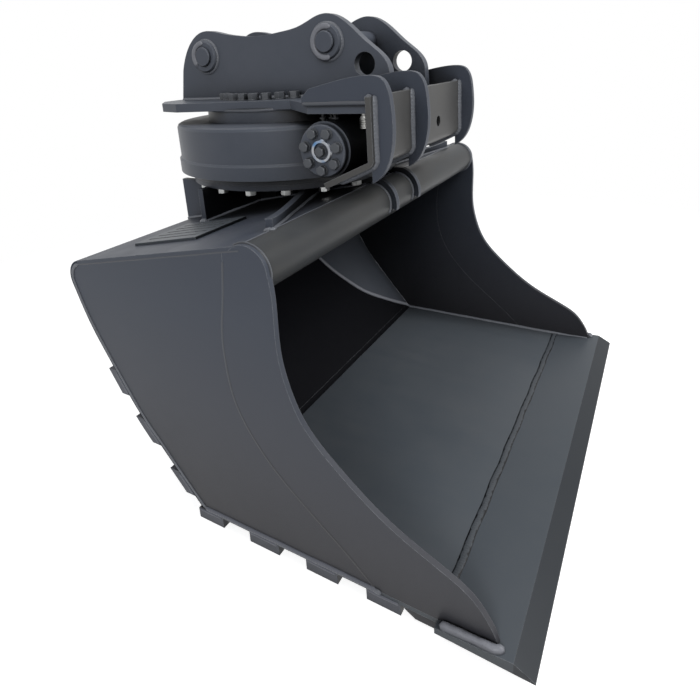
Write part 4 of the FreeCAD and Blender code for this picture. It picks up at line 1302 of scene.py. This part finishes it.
@dataclass
class Studio:
    """Floor, lamps, sky and camera."""

    eye: tuple[float, float, float] = (-1625.5626, -1192.4425, 1301.7034)
    right: tuple[float, float, float] = (0.49721525, -0.86554161, -0.06012255)
    above: tuple[float, float, float] = (0.27541361, 0.09174172, 0.95693824)
    forward: tuple[float, float, float] = (0.82275412, 0.49236286, -0.28399733)
    focal_px: float = 539.03
    image_px: float = 700.0
    centre_row: float = 220.0
    floor_half: float = 14.0
    sky_on_object: float = 0.28
    fade: tuple[float, float] = (1.9, 3.4)

    def build(self) -> None:
        """Make everything that is round the object."""
        self.camera()
        self.sky()
        self.floor()
        self.lamp("key_lamp", (-4.6, -1.4, 2.9), (0.0, 0.1, 0.5), 1.8, 145.0)
        self.lamp("front_lamp", (1.2, -4.2, 4.4), (0.0, -0.5, 0.2), 2.2, 200.0)
        self.lamp("top_lamp", (-0.6, 0.9, 5.2), (0.0, 0.1, 0.8), 2.4, 50.0)
        self.lamp("low_lamp", (-0.8, -4.4, 0.5), (0.0, -0.3, 0.8), 1.6, 22.0)
        bpy.context.scene.view_settings.view_transform = "Standard"

    def camera(self) -> None:
        """Camera at the eye point, with the lens from the focal length in pixels."""
        data = bpy.data.cameras.new("photo_camera")
        data.sensor_width = 36.0
        data.lens = self.focal_px / self.image_px * data.sensor_width
        data.shift_y = (self.centre_row - self.image_px / 2.0) / self.image_px
        data.clip_start, data.clip_end = 0.05, 100.0
        turn = np.eye(4)
        turn[:3, 0], turn[:3, 1], turn[:3, 2] = self.right, self.above, [-c for c in self.forward]
        turn[:3, 3] = place(np.array(self.eye))
        made = bpy.data.objects.new("photo_camera", data)
        made.matrix_world = Matrix(turn.tolist())
        bpy.context.scene.collection.objects.link(made)
        bpy.context.scene.camera = made

    def sky(self) -> None:
        """White sky for the eye and for reflections, a dimmer one that lights the object."""
        world = bpy.data.worlds.new("studio_sky")
        bpy.context.scene.world = world
        world.use_nodes = True
        nodes, links = world.node_tree.nodes, world.node_tree.links
        nodes.clear()
        out = nodes.new("ShaderNodeOutputWorld")
        path = nodes.new("ShaderNodeLightPath")
        seen = nodes.new("ShaderNodeMath")
        seen.operation, seen.use_clamp = "ADD", True
        both = nodes.new("ShaderNodeMath")
        both.operation, both.use_clamp = "ADD", True
        blend = nodes.new("ShaderNodeMixShader")
        dim, white = nodes.new("ShaderNodeBackground"), nodes.new("ShaderNodeBackground")
        dim.inputs[0].default_value, dim.inputs[1].default_value = (0.93, 0.96, 1.0, 1.0), self.sky_on_object
        white.inputs[0].default_value, white.inputs[1].default_value = (1.0, 1.0, 1.0, 1.0), 1.0
        links.new(path.outputs["Is Camera Ray"], seen.inputs[0])
        links.new(path.outputs["Is Glossy Ray"], seen.inputs[1])
        links.new(seen.outputs[0], both.inputs[0])
        links.new(path.outputs["Is Transmission Ray"], both.inputs[1])
        links.new(both.outputs[0], blend.inputs[0])
        links.new(dim.outputs[0], blend.inputs[1])
        links.new(white.outputs[0], blend.inputs[2])
        links.new(blend.outputs[0], out.inputs[0])

    def floor(self) -> None:
        """Pale floor a hair under the object, with a little light of its own for the eye."""
        h = self.floor_half
        data = bpy.data.meshes.new("studio_floor")
        data.from_pydata([(-h, -h, -0.0006), (h, -h, -0.0006), (h, h, -0.0006), (-h, h, -0.0006)], [], [(0, 1, 2, 3)])
        g = Graph("studio_floor")
        g.feed("Base Color", g.mix(g.noise(0.7, 2.0), (0.80, 0.80, 0.80), (0.82, 0.82, 0.82)))
        g.shader.inputs["Roughness"].default_value = 0.9
        glow = g.node("ShaderNodeEmission", None, {0: (1.0, 1.0, 1.0, 1.0), 1: 0.62})
        near = g.node("ShaderNodeAddShader", None, {0: g.shader.outputs[0], 1: glow.outputs[0]})
        white = g.node("ShaderNodeEmission", None, {0: (1.0, 1.0, 1.0, 1.0), 1: 1.0})
        away = g.node("ShaderNodeVectorMath", {"operation": "LENGTH"}, {0: g.place})
        far = Value(g, away.outputs["Value"]).above(*self.fade)
        lit = g.node("ShaderNodeMixShader", None, {0: far, 1: near.outputs[0], 2: white.outputs[0]})
        path = g.node("ShaderNodeLightPath")
        seen = g.node("ShaderNodeMath", {"operation": "MAXIMUM"},
                      {0: path.outputs["Is Camera Ray"], 1: path.outputs["Is Glossy Ray"]})
        dull = g.node("ShaderNodeBsdfDiffuse", None, {0: (0.42, 0.42, 0.42, 1.0)})
        blend = g.node("ShaderNodeMixShader", None, {0: seen.outputs[0], 1: dull.outputs[0], 2: lit.outputs[0]})
        g.tree.links.new(blend.outputs[0], g.output.inputs[0])
        data.materials.append(g.material)
        made = bpy.data.objects.new("studio_floor", data)
        bpy.context.scene.collection.objects.link(made)

    def lamp(
        self, name: str, spot: Sequence[float], aim: Sequence[float], size: float, power: float
    ) -> None:
        """Square soft lamp.

        Args:
            name: Name of the lamp.
            spot: Its place in metres.
            aim: Point that it looks at.
            size: Side of the square.
            power: Watts.
        """
        data = bpy.data.lights.new(name, "AREA")
        data.size, data.energy = size, power
        made = bpy.data.objects.new(name, data)
        back = unit(np.subtract(spot, aim))
        side = unit(np.cross([0.0, 0.0, 1.0], back))
        turn = np.eye(4)
        turn[:3, 0], turn[:3, 1], turn[:3, 2], turn[:3, 3] = side, np.cross(back, side), back, spot
        made.matrix_world = Matrix(turn.tolist())
        bpy.context.scene.collection.objects.link(made)


def main() -> None:
    logging.basicConfig(level=logging.INFO, format="%(name)s: %(message)s")
    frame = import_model()
    builder = Builder(frame)
    for assembly in (BucketShell, TorqueTube, Pedestal, SlewDrive, DriveHousing, Hitch, Guard):
        assembly(builder).build()
        LOG.info("finished %s", assembly.__name__)
    Studio().build()


if __name__ == "__main__":
    main()
